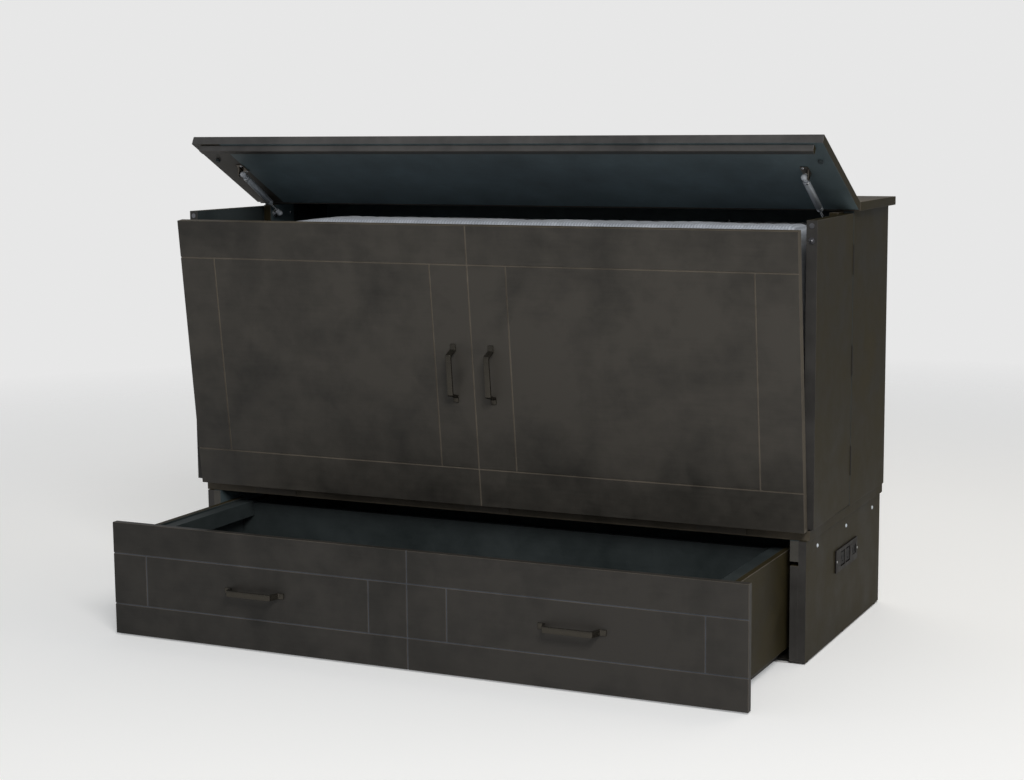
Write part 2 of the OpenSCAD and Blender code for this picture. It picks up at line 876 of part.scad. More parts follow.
module strut_rod(side) {
    translate([side * strut_x, strut_low_y, strut_low_z]) rotate([strut_lean - strut_slope, 0, 0]) {
        strut_eye();
        difference() {
            rotate([90, 0, 0]) union() {
                translate([0, 0, eye_r - 1]) cylinder(r = 4.5, h = 8);
                translate([0, 0, eye_r + 6]) cylinder(d = rod_d, h = rod_len - eye_r - 6);
            }
            translate([-eye_w / 2 - 5, 0, 0]) disc_x(ball_r + 0.4, eye_w + 10);
        }
    }
}

module strut_tube_left() {
    color(tube_grey) strut_tube(-1);
}

module strut_tube_right() {
    color(tube_grey) strut_tube(1);
}

module strut_rod_left() {
    color(steel) strut_rod(-1);
}

module strut_rod_right() {
    color(steel) strut_rod(1);
}

base_side_left();
base_side_right();
base_linings();
deck_cleats();
base_back();
floor_glides();
base_bolts();
outlet_plate();
outlet_box();
power_sockets();
usb_ports();
outlet_screws();
slide_outer_members();
deck_board();
cabinet_side_left();
cabinet_side_right();
cabinet_back();
rear_rails();
side_stiles();
fixed_top();
lid_hinge_fixed_leaves();
wing_hinge_fixed_leaves();
panel_hinge_fixed_leaves();
strut_lower_mounts();
mattress_head();
mattress_middle();
mattress_foot();
lid_board();
lid_fascia();
lid_hinge_moving_leaves();
strut_upper_mounts();
lid_bumpers();
front_panel_board();
door_pulls();
panel_hinge_moving_leaves();
strike_plates();
foot_deck_board();
foot_hinges();
foot_legs();
foot_leg_brackets();
wing_left_board();
wing_left_hinge_leaves();
wing_left_catch();
wing_right_board();
wing_right_hinge_leaves();
wing_right_catch();
drawer_front();
drawer_side_left();
drawer_side_right();
drawer_back();
drawer_bottom();
drawer_inner_rails();
drawer_pulls();
slide_inner_members();
slide_middle_members();
strut_tube_left();
strut_tube_right();
strut_rod_left();
strut_rod_right();
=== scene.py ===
"""The looks of the cabinet bed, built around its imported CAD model."""

import json
import math

import bmesh
import bpy
import numpy as np
from mathutils import Matrix, Vector, noise

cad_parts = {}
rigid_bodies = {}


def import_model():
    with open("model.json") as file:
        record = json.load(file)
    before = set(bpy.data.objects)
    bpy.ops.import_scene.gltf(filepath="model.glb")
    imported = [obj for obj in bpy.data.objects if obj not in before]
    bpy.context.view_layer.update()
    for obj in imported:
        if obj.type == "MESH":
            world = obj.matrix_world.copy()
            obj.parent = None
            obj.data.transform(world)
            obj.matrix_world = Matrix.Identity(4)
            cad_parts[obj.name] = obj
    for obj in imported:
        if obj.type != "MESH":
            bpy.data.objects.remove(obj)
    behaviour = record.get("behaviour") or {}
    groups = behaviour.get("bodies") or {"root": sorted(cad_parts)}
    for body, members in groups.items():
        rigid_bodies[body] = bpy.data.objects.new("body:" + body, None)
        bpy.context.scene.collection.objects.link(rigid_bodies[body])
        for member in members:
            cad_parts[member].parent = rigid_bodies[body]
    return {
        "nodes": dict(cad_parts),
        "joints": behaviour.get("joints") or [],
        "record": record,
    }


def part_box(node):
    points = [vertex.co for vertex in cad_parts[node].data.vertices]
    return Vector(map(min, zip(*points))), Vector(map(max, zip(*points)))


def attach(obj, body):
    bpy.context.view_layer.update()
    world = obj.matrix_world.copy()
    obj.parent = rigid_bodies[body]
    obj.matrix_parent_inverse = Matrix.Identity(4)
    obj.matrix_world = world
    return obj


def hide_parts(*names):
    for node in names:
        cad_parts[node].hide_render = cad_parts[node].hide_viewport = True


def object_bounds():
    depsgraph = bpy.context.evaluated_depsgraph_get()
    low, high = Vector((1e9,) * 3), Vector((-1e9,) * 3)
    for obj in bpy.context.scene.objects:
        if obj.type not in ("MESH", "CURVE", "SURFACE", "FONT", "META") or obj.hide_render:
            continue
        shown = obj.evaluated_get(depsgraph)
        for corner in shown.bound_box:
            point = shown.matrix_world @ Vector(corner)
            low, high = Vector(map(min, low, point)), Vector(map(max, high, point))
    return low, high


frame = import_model()
cad_low, cad_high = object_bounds()

NODES = frame["nodes"]
RECORD = frame["record"]
JOINTS = {joint["name"]: joint for joint in frame["joints"]}
BODIES = RECORD["behaviour"]["bodies"]
BODY_OF = {node: body for body, members in BODIES.items() for node in members}
SLOT_OF = {part["node"]: part["material_slot"] for part in RECORD["subparts"]}
MM = 0.001

# Camera, from a fit of the model's corners to the photo: angles in degrees, lens in mm
CAMERA_PLACE = Vector((2.0516, -4.7946, 1.2423))
CAMERA_TURN = 25.402
CAMERA_TILT = -8.012
CAMERA_ROLL = -0.512
CAMERA_LENS = 68.525
SENSOR = 36.0

# Stage
BACKDROP = (0.80, 0.80, 0.80, 1)
SOFT_LIGHT, SOFT_LIGHT_STRENGTH = (0.96, 0.98, 1.0, 1), 0.30
FLOOR_RADIUS = 16.0
FLOOR_COLOUR = (0.80, 0.80, 0.80, 1)
FLOOR_ROUGHNESS = 0.9
FLOOR_GLOW, FLOOR_GLOW_COLOUR = 0.29, (0.97, 0.99, 1.0, 1)
FLOOR_FADE_FROM, FLOOR_FADE_TO = 1.8, 5.0
COVERED_FLOOR_LIFT = 0.0005

# Lights: name, place, size, power in watts, colour
LIGHTS = (
    ("front_box", (3.0, -4.7, 4.1), (2.2, 1.8), 190, (1.0, 0.98, 0.95)),
    ("left_fill", (-4.5, -3.5, 2.2), (2.5, 2.5), 8, (0.95, 0.98, 1.0)),
    ("top_warm", (0.5, 1.2, 3.6), (3.5, 2.0), 30, (1.0, 0.90, 0.74)),
)

# Colours of the finishes, some with painted light and shade in them
STAIN_DARK = (0.020, 0.0185, 0.016)
STAIN_LIGHT = (0.046, 0.041, 0.034)
SIDE_DARK = (0.022, 0.0180, 0.0085)
SIDE_LIGHT = (0.044, 0.0355, 0.0165)
EDGE_DARK = (0.040, 0.039, 0.039)
EDGE_LIGHT = (0.090, 0.088, 0.086)
PANEL_DARK = (0.026, 0.0243, 0.0212)
PANEL_LIGHT = (0.060, 0.0546, 0.0466)
# The drawer front is painted darker than the panel: painted shade under the light from above
SHADED_DRAWER_DARK = (0.015, 0.0142, 0.0123)
SHADED_DRAWER_LIGHT = (0.039, 0.0357, 0.0315)
# Painted pools of light on the front panel and the drawer front, towards the right where the light
# falls: centre and reach
PANEL_LIGHT_POOL = ((0.25, -0.65, 0.72), (1.15, 1.0, 0.42))
DRAWER_LIGHT_POOL = ((0.75, -1.03, 0.15), (1.5, 1.0, 0.5))
# Lighter tan on every eased board edge: painted highlight where the edges catch the light
EDGE_HIGHLIGHT_DARK = (0.050, 0.043, 0.035)
EDGE_HIGHLIGHT_LIGHT = (0.115, 0.098, 0.078)
GROOVE_DARK = (0.090, 0.079, 0.065)
GROOVE_LIGHT = (0.170, 0.150, 0.124)
DRAWER_GROOVE_DARK = (0.060, 0.065, 0.076)
DRAWER_GROOVE_LIGHT = (0.105, 0.114, 0.130)
# Painted warm light on the upward faces of the fixed top and the lid
LIT_TOP_DARK = (0.042, 0.035, 0.025)
LIT_TOP_LIGHT = (0.080, 0.067, 0.048)
# Lighter brown on the deck's front edge, which lies in the panel's shadow, and on the panel's top
# and side faces: painted light
LIT_DECK_EDGE_DARK = (0.060, 0.050, 0.036)
LIT_DECK_EDGE_LIGHT = (0.120, 0.102, 0.076)
FRONT_DARK = (0.030, 0.0285, 0.0270)
FRONT_LIGHT = (0.058, 0.0555, 0.0530)
END_GRAIN_DARK = (0.038, 0.036, 0.032)
END_GRAIN_LIGHT = (0.080, 0.076, 0.067)
# Lighter blue-green on the boards inside the case: painted cool bounce light
BOUNCE_LIT_INNER_DARK = (0.050, 0.070, 0.078)
BOUNCE_LIT_INNER_LIGHT = (0.096, 0.132, 0.144)
# Brighter blue-green under the lid: painted cool bounce light from the floor
BOUNCE_LIT_UNDER_LID_DARK = (0.065, 0.090, 0.099)
BOUNCE_LIT_UNDER_LID_LIGHT = (0.120, 0.164, 0.178)
# Darker blue-green inside the drawer and on the inward faces of the wings and sides: painted cool
# shade
SHADED_RECESS_DARK = (0.020, 0.027, 0.028)
SHADED_RECESS_LIGHT = (0.040, 0.050, 0.052)
# Cover and tape painted a darker blue-grey than the white fabric: painted shade under the lid
SHADED_COVER_DARK = (0.28, 0.31, 0.36)
SHADED_COVER_LIGHT = (0.54, 0.58, 0.64)
SHADED_TAPE_DARK = (0.32, 0.36, 0.42)
SHADED_TAPE_LIGHT = (0.52, 0.56, 0.63)
COVER_WEAVE, TAPE_WEAVE, FINE_RIB_SCALE = 1400.0, 2200.0, 42.0

X, Y, Z = Vector((1, 0, 0)), Vector((0, 1, 0)), Vector((0, 0, 1))


# ---- camera, stage and light -----------------------------------------------------------


def make_camera():
    """The camera the photo was taken with."""
    turn, tilt, roll = (math.radians(a) for a in (CAMERA_TURN, CAMERA_TILT, CAMERA_ROLL))
    forward = Vector(
        (-math.sin(turn) * math.cos(tilt), math.cos(turn) * math.cos(tilt), math.sin(tilt))
    )
    level = Vector((math.cos(turn), math.sin(turn), 0))
    upright = level.cross(forward)
    right = level * math.cos(roll) + upright * math.sin(roll)
    up = upright * math.cos(roll) - level * math.sin(roll)
    camera = bpy.data.objects.new("camera", bpy.data.cameras.new("camera"))
    bpy.context.scene.collection.objects.link(camera)
    camera.data.lens = CAMERA_LENS
    camera.data.sensor_width = SENSOR
    camera.data.clip_end = 100
    turned = Matrix((right, up, -forward)).transposed().to_4x4()
    camera.matrix_world = Matrix.Translation(CAMERA_PLACE) @ turned
    bpy.context.scene.camera = camera


def make_world():
    """A pale backdrop for the camera, and a dimmer even light on the object."""
    bpy.context.scene.view_settings.view_transform = "Standard"
    world = bpy.data.worlds.new("studio")
    bpy.context.scene.world = world
    world.use_nodes = True
    tree = world.node_tree
    tree.nodes.clear()
    seen = put(tree, "ShaderNodeBackground", {"Color": BACKDROP, "Strength": 1.0})
    lit = put(
        tree, "ShaderNodeBackground", {"Color": SOFT_LIGHT, "Strength": SOFT_LIGHT_STRENGTH}
    )
    path = tree.nodes.new("ShaderNodeLightPath")
    mix = tree.nodes.new("ShaderNodeMixShader")
    out = tree.nodes.new("ShaderNodeOutputWorld")
    tree.links.new(path.outputs["Is Camera Ray"], mix.inputs[0])
    tree.links.new(lit.outputs[0], mix.inputs[1])
    tree.links.new(seen.outputs[0], mix.inputs[2])
    tree.links.new(mix.outputs[0], out.inputs["Surface"])


def make_floor():
    """A wide pale disc that fades into the backdrop and glows a little for the camera."""
    mesh = bmesh.new()
    bmesh.ops.create_circle(mesh, cap_ends=True, segments=96, radius=FLOOR_RADIUS)
    floor = link_mesh("floor", mesh)
    settings = {
        "Base Color": FLOOR_COLOUR,
        "Roughness": FLOOR_ROUGHNESS,
        "Specular IOR Level": 0.1,
        "Emission Color": FLOOR_GLOW_COLOUR,
    }
    material, tree, shader = new_material("pale_floor", settings)
    path = tree.nodes.new("ShaderNodeLightPath")
    glow = weighed(tree, [(path.outputs["Is Camera Ray"], FLOOR_GLOW)])
    tree.links.new(glow, shader.inputs["Emission Strength"])
    place = tree.nodes.new("ShaderNodeTexCoord")
    distance = tree.nodes.new("ShaderNodeVectorMath")
    distance.operation = "LENGTH"
    tree.links.new(place.outputs["Object"], distance.inputs[0])
    fade = span_to(tree, distance.outputs["Value"], 1.0, 0.0, FLOOR_FADE_FROM, FLOOR_FADE_TO)
    tree.links.new(fade, shader.inputs["Alpha"])
    floor.data.materials.append(material)


def make_covered_floor():
    """The floor inside the open base, which stays in shadow and has no glow."""
    low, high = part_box("base_side_left")[0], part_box("base_side_right")[1]
    mesh = bmesh.new()
    corners = ((low.x, low.y), (high.x, low.y), (high.x, high.y), (low.x, high.y))
    mesh.faces.new([mesh.verts.new((x, y, COVERED_FLOOR_LIFT)) for x, y in corners])
    covered = link_mesh("covered_floor", mesh)
    settings = {"Base Color": FLOOR_COLOUR, "Roughness": FLOOR_ROUGHNESS}
    covered.data.materials.append(new_material("covered_floor", settings)[0])


def area_light(name, place, target, size, power, colour):
    light = bpy.data.lights.new(name, "AREA")
    light.shape = "RECTANGLE"
    light.size, light.size_y = size
    light.energy = power
    light.color = colour
    holder = bpy.data.objects.new(name, light)
    holder.location = place
    holder.rotation_mode = "QUATERNION"
    holder.rotation_quaternion = (Vector(target) - Vector(place)).to_track_quat("-Z", "Y")
    bpy.context.scene.collection.objects.link(holder)


def make_lights():
    """Soft boxes that all look at the middle of the bed."""
    middle = (cad_low + cad_high) / 2
    for name, place, size, power, colour in LIGHTS:
        area_light(name, place, middle, size, power, colour)


# ---- helpers for meshes ----------------------------------------------------------------


def link_mesh(name, mesh):
    """A new object from a bmesh."""
    data = bpy.data.meshes.new(name)
    mesh.to_mesh(data)
    mesh.free()
    made = bpy.data.objects.new(name, data)
    bpy.context.scene.collection.objects.link(made)
    return made


CLOSES_AT_LOW = ("lid", "front_panel", "wing_left", "wing_right")


def closing(body):
    """The turn that carries a hinged body from rest to its closed state."""
    for joint in JOINTS.values():
        if joint["child"] == body and joint["type"] == "hinge" and body in CLOSES_AT_LOW:
            pivot = Matrix.Translation(Vector(joint["pos_m"]))
            angle = math.radians(joint["range_deg"][0])
            return pivot @ Matrix.Rotation(angle, 4, Vector(joint["axis"])) @ pivot.inverted()
    return Matrix.Identity(4)


def stand_in(piece, *nodes, turned=None):
    """The piece takes the place of CAD nodes and rides on their body."""
    if turned is not None:
        piece.matrix_world = turned
    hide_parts(*nodes)
    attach(piece, BODY_OF[nodes[0]])


BEVEL_STEPS = 2
SHARP = math.radians(30)
GROOVE_DEPTHS = (0.0009, 0.0022)
GROOVE_AREA = 0.02


def softened(node, soften, materials):
    """A CAD solid with its edges eased. Eased edges take the second material, and the routed
    grooves a little below the front face take the third."""
    turn = closing(BODY_OF[node])
    mesh = bmesh.new()
    mesh.from_mesh(NODES[node].data)
    mesh.transform(turn)
    bmesh.ops.remove_doubles(mesh, verts=mesh.verts, dist=1e-5)
    bmesh.ops.dissolve_limit(
        mesh,
        angle_limit=math.radians(1),
        verts=mesh.verts,
        edges=mesh.edges,
        use_dissolve_boundaries=False,
    )
    low = min(v.co.y for v in mesh.verts)
    sharp = [e for e in mesh.edges if len(e.link_faces) == 2 and e.calc_face_angle() > SHARP]
    eased = bmesh.ops.bevel(
        mesh,
        geom=sharp,
        offset=soften,
        offset_type="OFFSET",
        segments=BEVEL_STEPS,
        profile=0.5,
        affect="EDGES",
        clamp_overlap=True,
    )
    if len(materials) > 1:
        for face in eased["faces"]:
            face.material_index = 1
    if len(materials) > 2:
        for face in mesh.faces:
            depth = face.calc_center_median().y - low
            if GROOVE_DEPTHS[0] < depth < GROOVE_DEPTHS[1] and face.calc_area() < GROOVE_AREA:
                face.material_index = 2
    piece = link_mesh(node + "_finished", mesh)
    for material in materials:
        piece.data.materials.append(material)
    stand_in(piece, node, turned=turn.inverted())
    return piece


def frame_along(direction, side=X):
    """A rotation whose Z runs along direction."""
    z = direction.normalized()
    x = (side - z * side.dot(z)).normalized()
    return Matrix((x, z.cross(x), z)).transposed().to_4x4()


def lathe(mesh, profile, place, direction, index=0, segments=40):
    """Turn a profile of (distance along, radius) points about an axis, as a closed skin."""
    turned = Matrix.Translation(place) @ frame_along(direction, X if abs(direction.x) < 0.9 else Y)
    rings = []
    for along, radius in profile:
        if radius == 0:
            rings.append([mesh.verts.new(turned @ Vector((0, 0, along)))])
            continue
        angles = [2 * math.pi * i / segments for i in range(segments)]
        spots = [Vector((radius * math.cos(a), radius * math.sin(a), along)) for a in angles]
        rings.append([mesh.verts.new(turned @ s) for s in spots])
    for one, two in zip(rings, rings[1:]):
        for i in range(segments):
            j = (i + 1) % segments
            corners = [one[i % len(one)], one[j % len(one)], two[j % len(two)], two[i % len(two)]]
            corners = list(dict.fromkeys(corners))
            if len(corners) > 2:
                face = mesh.faces.new(corners)
                face.smooth = True
                face.material_index = index


def arc(cx, cy, radius, start, end, steps):
    """Points on an arc, angles in degrees."""
    angles = [math.radians(start + (end - start) * i / steps) for i in range(steps + 1)]
    return [(cx + radius * math.cos(a), cy + radius * math.sin(a)) for a in angles]


def rounded(points, radii, steps=5):
    """An open polyline whose inner corners are rounded by the given radii."""
    out = [points[0]]
    for before, here, after, radius in zip(points, points[1:], points[2:], radii):
        p, a, b = Vector(here), Vector(before), Vector(after)
        u, v = (a - p).normalized(), (b - p).normalized()
        half = math.acos(max(-1, min(1, u.dot(v)))) / 2
        reach = min(radius / math.tan(half), (a - p).length * 0.49, (b - p).length * 0.49)
        radius = reach * math.tan(half)
        centre = p + (u + v).normalized() * radius / math.sin(half)
        start, end = p + u * reach - centre, p + v * reach - centre
        sweep = start.angle_signed(end)
        for i in range(steps + 1):
            turn = -sweep * i / steps
            c, s = math.cos(turn), math.sin(turn)
            x, y = start.x * c - start.y * s, start.x * s + start.y * c
            out.append((centre.x + x, centre.y + y))
    out.append(points[-1])
    return out


# ---- helpers for materials -------------------------------------------------------------


def put(tree, kind, inputs=None):
    node = tree.nodes.new(kind)
    for name, value in (inputs or {}).items():
        node.inputs[name].default_value = value
    return node


def new_material(name, inputs):
    material = bpy.data.materials.new(name)
    material.use_nodes = True
    tree = material.node_tree
    shader = tree.nodes["Principled BSDF"]
    for socket, value in inputs.items():
        shader.inputs[socket].default_value = value
    return material, tree, shader


def noise_at(tree, stretch, scale, detail=4.0, roughness=0.55, distortion=0.0):
    """Noise over the object's own coordinates, stretched by a scale along each axis."""
    place = tree.nodes.new("ShaderNodeTexCoord")
    mapped = put(tree, "ShaderNodeMapping", {"Scale": stretch})
    made = put(
        tree,
        "ShaderNodeTexNoise",
        {"Scale": scale, "Detail": detail, "Roughness": roughness, "Distortion": distortion},
    )
    tree.links.new(place.outputs["Object"], mapped.inputs["Vector"])
    tree.links.new(mapped.outputs["Vector"], made.inputs["Vector"])
    return made.outputs["Fac"]


def weighed(tree, terms):
    """The sum of sockets times weights."""
    total = None
    for socket, weight in terms:
        node = tree.nodes.new("ShaderNodeMath")
        node.operation = "MULTIPLY_ADD"
        tree.links.new(socket, node.inputs[0])
        node.inputs[1].default_value = weight
        node.inputs[2].default_value = 0.0
        if total is not None:
            tree.links.new(total, node.inputs[2])
        total = node.outputs[0]
    return total


def ramp(tree, factor, stops):
    node = tree.nodes.new("ShaderNodeValToRGB")
    while len(node.color_ramp.elements) < len(stops):
        node.color_ramp.elements.new(0.5)
    for element, (place, colour) in zip(node.color_ramp.elements, stops):
        element.position = place
        element.color = (*colour, 1)
    tree.links.new(factor, node.inputs["Fac"])
    return node.outputs["Color"]


def span_to(tree, factor, low, high, start=0.3, end=0.7):
    node = put(
        tree,
        "ShaderNodeMapRange",
        {"From Min": start, "From Max": end, "To Min": low, "To Max": high},
    )
    tree.links.new(factor, node.inputs["Value"])
    return node.outputs["Result"]


def bump(tree, shader, height, strength, distance):
    node = put(tree, "ShaderNodeBump", {"Strength": strength, "Distance": distance})
    tree.links.new(height, node.inputs["Height"])
    tree.links.new(node.outputs["Normal"], shader.inputs["Normal"])


def patch(tree, centre, reach):
    """1 at the centre of a soft round patch and 0 at its rim."""
    place = tree.nodes.new("ShaderNodeTexCoord")
    moved = put(tree, "ShaderNodeMapping", {"Scale": [1 / r for r in reach]})
    moved.inputs["Location"].default_value = [-c / r for c, r in zip(centre, reach)]
    distance = tree.nodes.new("ShaderNodeVectorMath")
    distance.operation = "LENGTH"
    fade = put(tree, "ShaderNodeMapRange", {"To Min": 1.0, "To Max": 0.0})
    fade.interpolation_type = "SMOOTHSTEP"
    tree.links.new(place.outputs["Object"], moved.inputs["Vector"])
    tree.links.new(moved.outputs["Vector"], distance.inputs[0])
    tree.links.new(distance.outputs["Value"], fade.inputs["Value"])
    return fade.outputs["Result"]


CLOUD_SCALE, BLOTCH_SCALE, STREAK_SCALE, PORE_SCALE = 5.0, 21.0, 150.0, 900.0
STREAK_STRETCH, PORE_STRETCH = 0.06, 0.025
# How much a pool of painted light lifts the tone
LIGHT_POOL_LIFT = 0.14


def stained(name, grain, dark, light, rough=(0.36, 0.50), relief=0.35, gloss=0.42, rubbed=None):
    """Hand-stained wood: soft cloudy blotches, fine streaks along the grain, open pores, and
    where asked a broad patch (centre, reach) of painted light, lighter towards its centre."""
    material, tree, shader = new_material(name, {"IOR": 1.45, "Specular IOR Level": gloss})
    along = [1.0, 1.0, 1.0]
    along[grain] = STREAK_STRETCH
    cloud = noise_at(tree, (1, 1, 1), CLOUD_SCALE, 3, 0.5, 0.6)
    blotch = noise_at(tree, (1, 1, 1), BLOTCH_SCALE, 4, 0.6, 0.3)
    streak = noise_at(tree, along, STREAK_SCALE, 5, 0.65)
    along[grain] = PORE_STRETCH
    pores = noise_at(tree, along, PORE_SCALE, 2, 0.5)
    tone = weighed(tree, [(cloud, 0.57), (blotch, 0.32), (streak, 0.11)])
    # a pool of painted light lifts the tone towards its centre
    if rubbed:
        tone = weighed(tree, [(tone, 1.0), (patch(tree, *rubbed), LIGHT_POOL_LIFT)])
    middle = tuple((a + b) / 2 for a, b in zip(dark, light))
    colour = ramp(tree, tone, [(0.36, dark), (0.50, middle), (0.64, light)])
    tree.links.new(colour, shader.inputs["Base Color"])
    tree.links.new(span_to(tree, tone, *rough, 0.38, 0.62), shader.inputs["Roughness"])
    open_pores = span_to(tree, pores, 0.0, 1.0, 0.30, 0.42)
    bump(tree, shader, weighed(tree, [(streak, 0.7), (open_pores, 0.3)]), relief, 0.0004)
    return material


def metal(name, colour, rough, grain=(1, 1, 1), scale=400.0, relief=0.15, metallic=1.0, tone=0.12):
    """Plated or painted metal with faint streaks or pits."""
    material, tree, shader = new_material(name, {"Metallic": metallic})
    fine = noise_at(tree, grain, scale, 4, 0.6)
    broad = noise_at(tree, (1, 1, 1), 60.0, 3, 0.5)
    mixed = weighed(tree, [(fine, 0.5), (broad, 0.5)])
    low = tuple(c * (1 - tone) for c in colour)
    high = tuple(min(1.0, c * (1 + tone)) for c in colour)
    tree.links.new(ramp(tree, mixed, [(0.35, low), (0.65, high)]), shader.inputs["Base Color"])
    tree.links.new(span_to(tree, mixed, rough * 0.8, rough * 1.25), shader.inputs["Roughness"])
    bump(tree, shader, fine, relief, 0.0002)
    return material


def plastic(name, colour, rough, gloss):
    """Moulded plastic or rubber with a fine spark-eroded texture."""
    material, tree, shader = new_material(name, {"IOR": 1.47, "Specular IOR Level": gloss})
    fine = noise_at(tree, (1, 1, 1), 2200.0, 2, 0.5)
    broad = noise_at(tree, (1, 1, 1), 45.0, 3, 0.5)
    low = tuple(c * 0.85 for c in colour)
    high = tuple(min(1.0, c * 1.15) for c in colour)
    tree.links.new(ramp(tree, broad, [(0.35, low), (0.65, high)]), shader.inputs["Base Color"])
    tree.links.new(span_to(tree, broad, rough * 0.85, rough * 1.15), shader.inputs["Roughness"])
    bump(tree, shader, fine, 0.2, 0.0001)
    return material


def knitted(name, dark, light, weave):
    """Knitted mattress cover: fine ribs and a woven relief, faint yarn streaks, a soft sheen."""
    settings = {
        "Roughness": 0.8,
        "Sheen Weight": 0.35,
        "Sheen Roughness": 0.4,
        "Specular IOR Level": 0.3,
    }
    material, tree, shader = new_material(name, settings)
    cloud = noise_at(tree, (1, 1, 1), 14.0, 3, 0.5, 0.4)
    yarn_across = noise_at(tree, (1, 0.5, 0.12), weave, 2, 0.5)
    yarn_along = noise_at(tree, (0.12, 0.5, 1), weave, 2, 0.5)
    ribs = tree.nodes.new("ShaderNodeTexWave")
    ribs.inputs["Scale"].default_value = FINE_RIB_SCALE
    ribs.inputs["Distortion"].default_value = 0.4
    place = tree.nodes.new("ShaderNodeTexCoord")
    tree.links.new(place.outputs["Object"], ribs.inputs["Vector"])
    ribs = ribs.outputs["Fac"]
    tone = weighed(tree, [(cloud, 0.25), (yarn_across, 0.3), (yarn_along, 0.3), (ribs, 0.15)])
    tree.links.new(ramp(tree, tone, [(0.38, dark), (0.60, light)]), shader.inputs["Base Color"])
    height = weighed(tree, [(yarn_across, 0.4), (yarn_along, 0.4), (ribs, 0.4)])
    bump(tree, shader, height, 0.5, 0.0008)
    return material


MATT, SATIN, DULL = (0.45, 0.6), (0.42, 0.55), (0.5, 0.65)

# Woods made once for each direction of the grain: key, material, dark, light, options
GRAINED_WOODS = (
    ("stained", "stained_wood", STAIN_DARK, STAIN_LIGHT, {}),
    # eased edges: painted highlight
    ("rubbed", "painted_light_edge", EDGE_HIGHLIGHT_DARK, EDGE_HIGHLIGHT_LIGHT, {"rough": MATT}),
    # boards inside the case: painted cool bounce light
    ("inner", "inner_wood", BOUNCE_LIT_INNER_DARK, BOUNCE_LIT_INNER_LIGHT, {"rough": SATIN}),
    ("side", "side_wood", SIDE_DARK, SIDE_LIGHT, {"rough": MATT, "gloss": 0.15}),
    # recesses: painted cool shade
    ("cavity", "shaded_recess_wood", SHADED_RECESS_DARK, SHADED_RECESS_LIGHT, {"rough": DULL}),
)

# Other woods: key and material, axis of the grain, dark, light, options
WOODS = (
    # underside of the lid: painted cool bounce light
    ("bounce_lit_under_lid", 0, BOUNCE_LIT_UNDER_LID_DARK, BOUNCE_LIT_UNDER_LID_LIGHT, {"rough": SATIN}),
    ("stained_edge", 0, EDGE_DARK, EDGE_LIGHT, {}),
    ("stained_panel", 0, PANEL_DARK, PANEL_LIGHT, {"rubbed": PANEL_LIGHT_POOL}),
    # drawer front: painted shade
    ("shaded_drawer", 0, SHADED_DRAWER_DARK, SHADED_DRAWER_LIGHT, {"rubbed": DRAWER_LIGHT_POOL}),
    ("drawer_groove", 0, DRAWER_GROOVE_DARK, DRAWER_GROOVE_LIGHT, {"rough": MATT}),
    # upward faces: painted warm light
    ("painted_lit_top", 0, LIT_TOP_DARK, LIT_TOP_LIGHT, {"rough": (0.48, 0.56), "gloss": 0.25}),
    # deck and panel edges: painted light
    ("lit_deck_edge", 0, LIT_DECK_EDGE_DARK, LIT_DECK_EDGE_LIGHT, {"rough": MATT, "gloss": 0.25}),
    ("groove", 0, GROOVE_DARK, GROOVE_LIGHT, {"rough": MATT}),
    ("front_edge", 2, FRONT_DARK, FRONT_LIGHT, {"rough": MATT, "gloss": 0.25}),
    ("end_grain", 1, END_GRAIN_DARK, END_GRAIN_LIGHT, {"rough": DULL}),
)

# Metals: key, material, colour, roughness, options
METALS = (
    (
        "bronze_metal",
        "dark_bronze",
        (0.075, 0.068, 0.056),
        0.24,
        {"relief": 0.03, "metallic": 0.85, "tone": 0.08},
    ),
    ("hinge_bronze", "hinge_bronze", (0.022, 0.020, 0.017), 0.5, {"metallic": 0.4}),
    # panel hinge leaves in the lighter brown of the deck edge: painted light
    ("lit_brown_hinge", "lit_brown_hinge", (0.080, 0.067, 0.050), 0.5, {"metallic": 0.1}),
    ("satin_nickel", "satin_nickel", (0.26, 0.26, 0.28), 0.34, {}),
    ("zinc_steel", "zinc_steel", (0.60, 0.61, 0.63), 0.38, {"grain": (1, 0.05, 1), "scale": 900.0}),
    ("bolt_steel", "bolt_steel", (0.70, 0.76, 0.82), 0.42, {"metallic": 0.25}),
    ("bright_steel", "bright_steel", (0.78, 0.79, 0.80), 0.20, {}),
    (
        "strut_grey",
        "strut_grey",
        (0.42, 0.45, 0.48),
        0.35,
        {"grain": (1, 0.1, 0.1), "metallic": 0.35},
    ),
    ("ear_steel", "ear_steel", (0.20, 0.17, 0.14), 0.36, {}),
)

# Plastics and rubber: key, material, colour, roughness, gloss
PLASTICS = (
    ("outlet_bronze", "outlet_plastic", (0.014, 0.012, 0.011), 0.45, 0.15),
    ("black_plastic", "black_plastic", (0.012, 0.012, 0.013), 0.5, 0.15),
    ("socket_plastic", "strut_socket_plastic", (0.62, 0.65, 0.70), 0.38, 0.5),
    ("rubber", "rubber", (0.055, 0.068, 0.072), 0.7, 0.2),
)


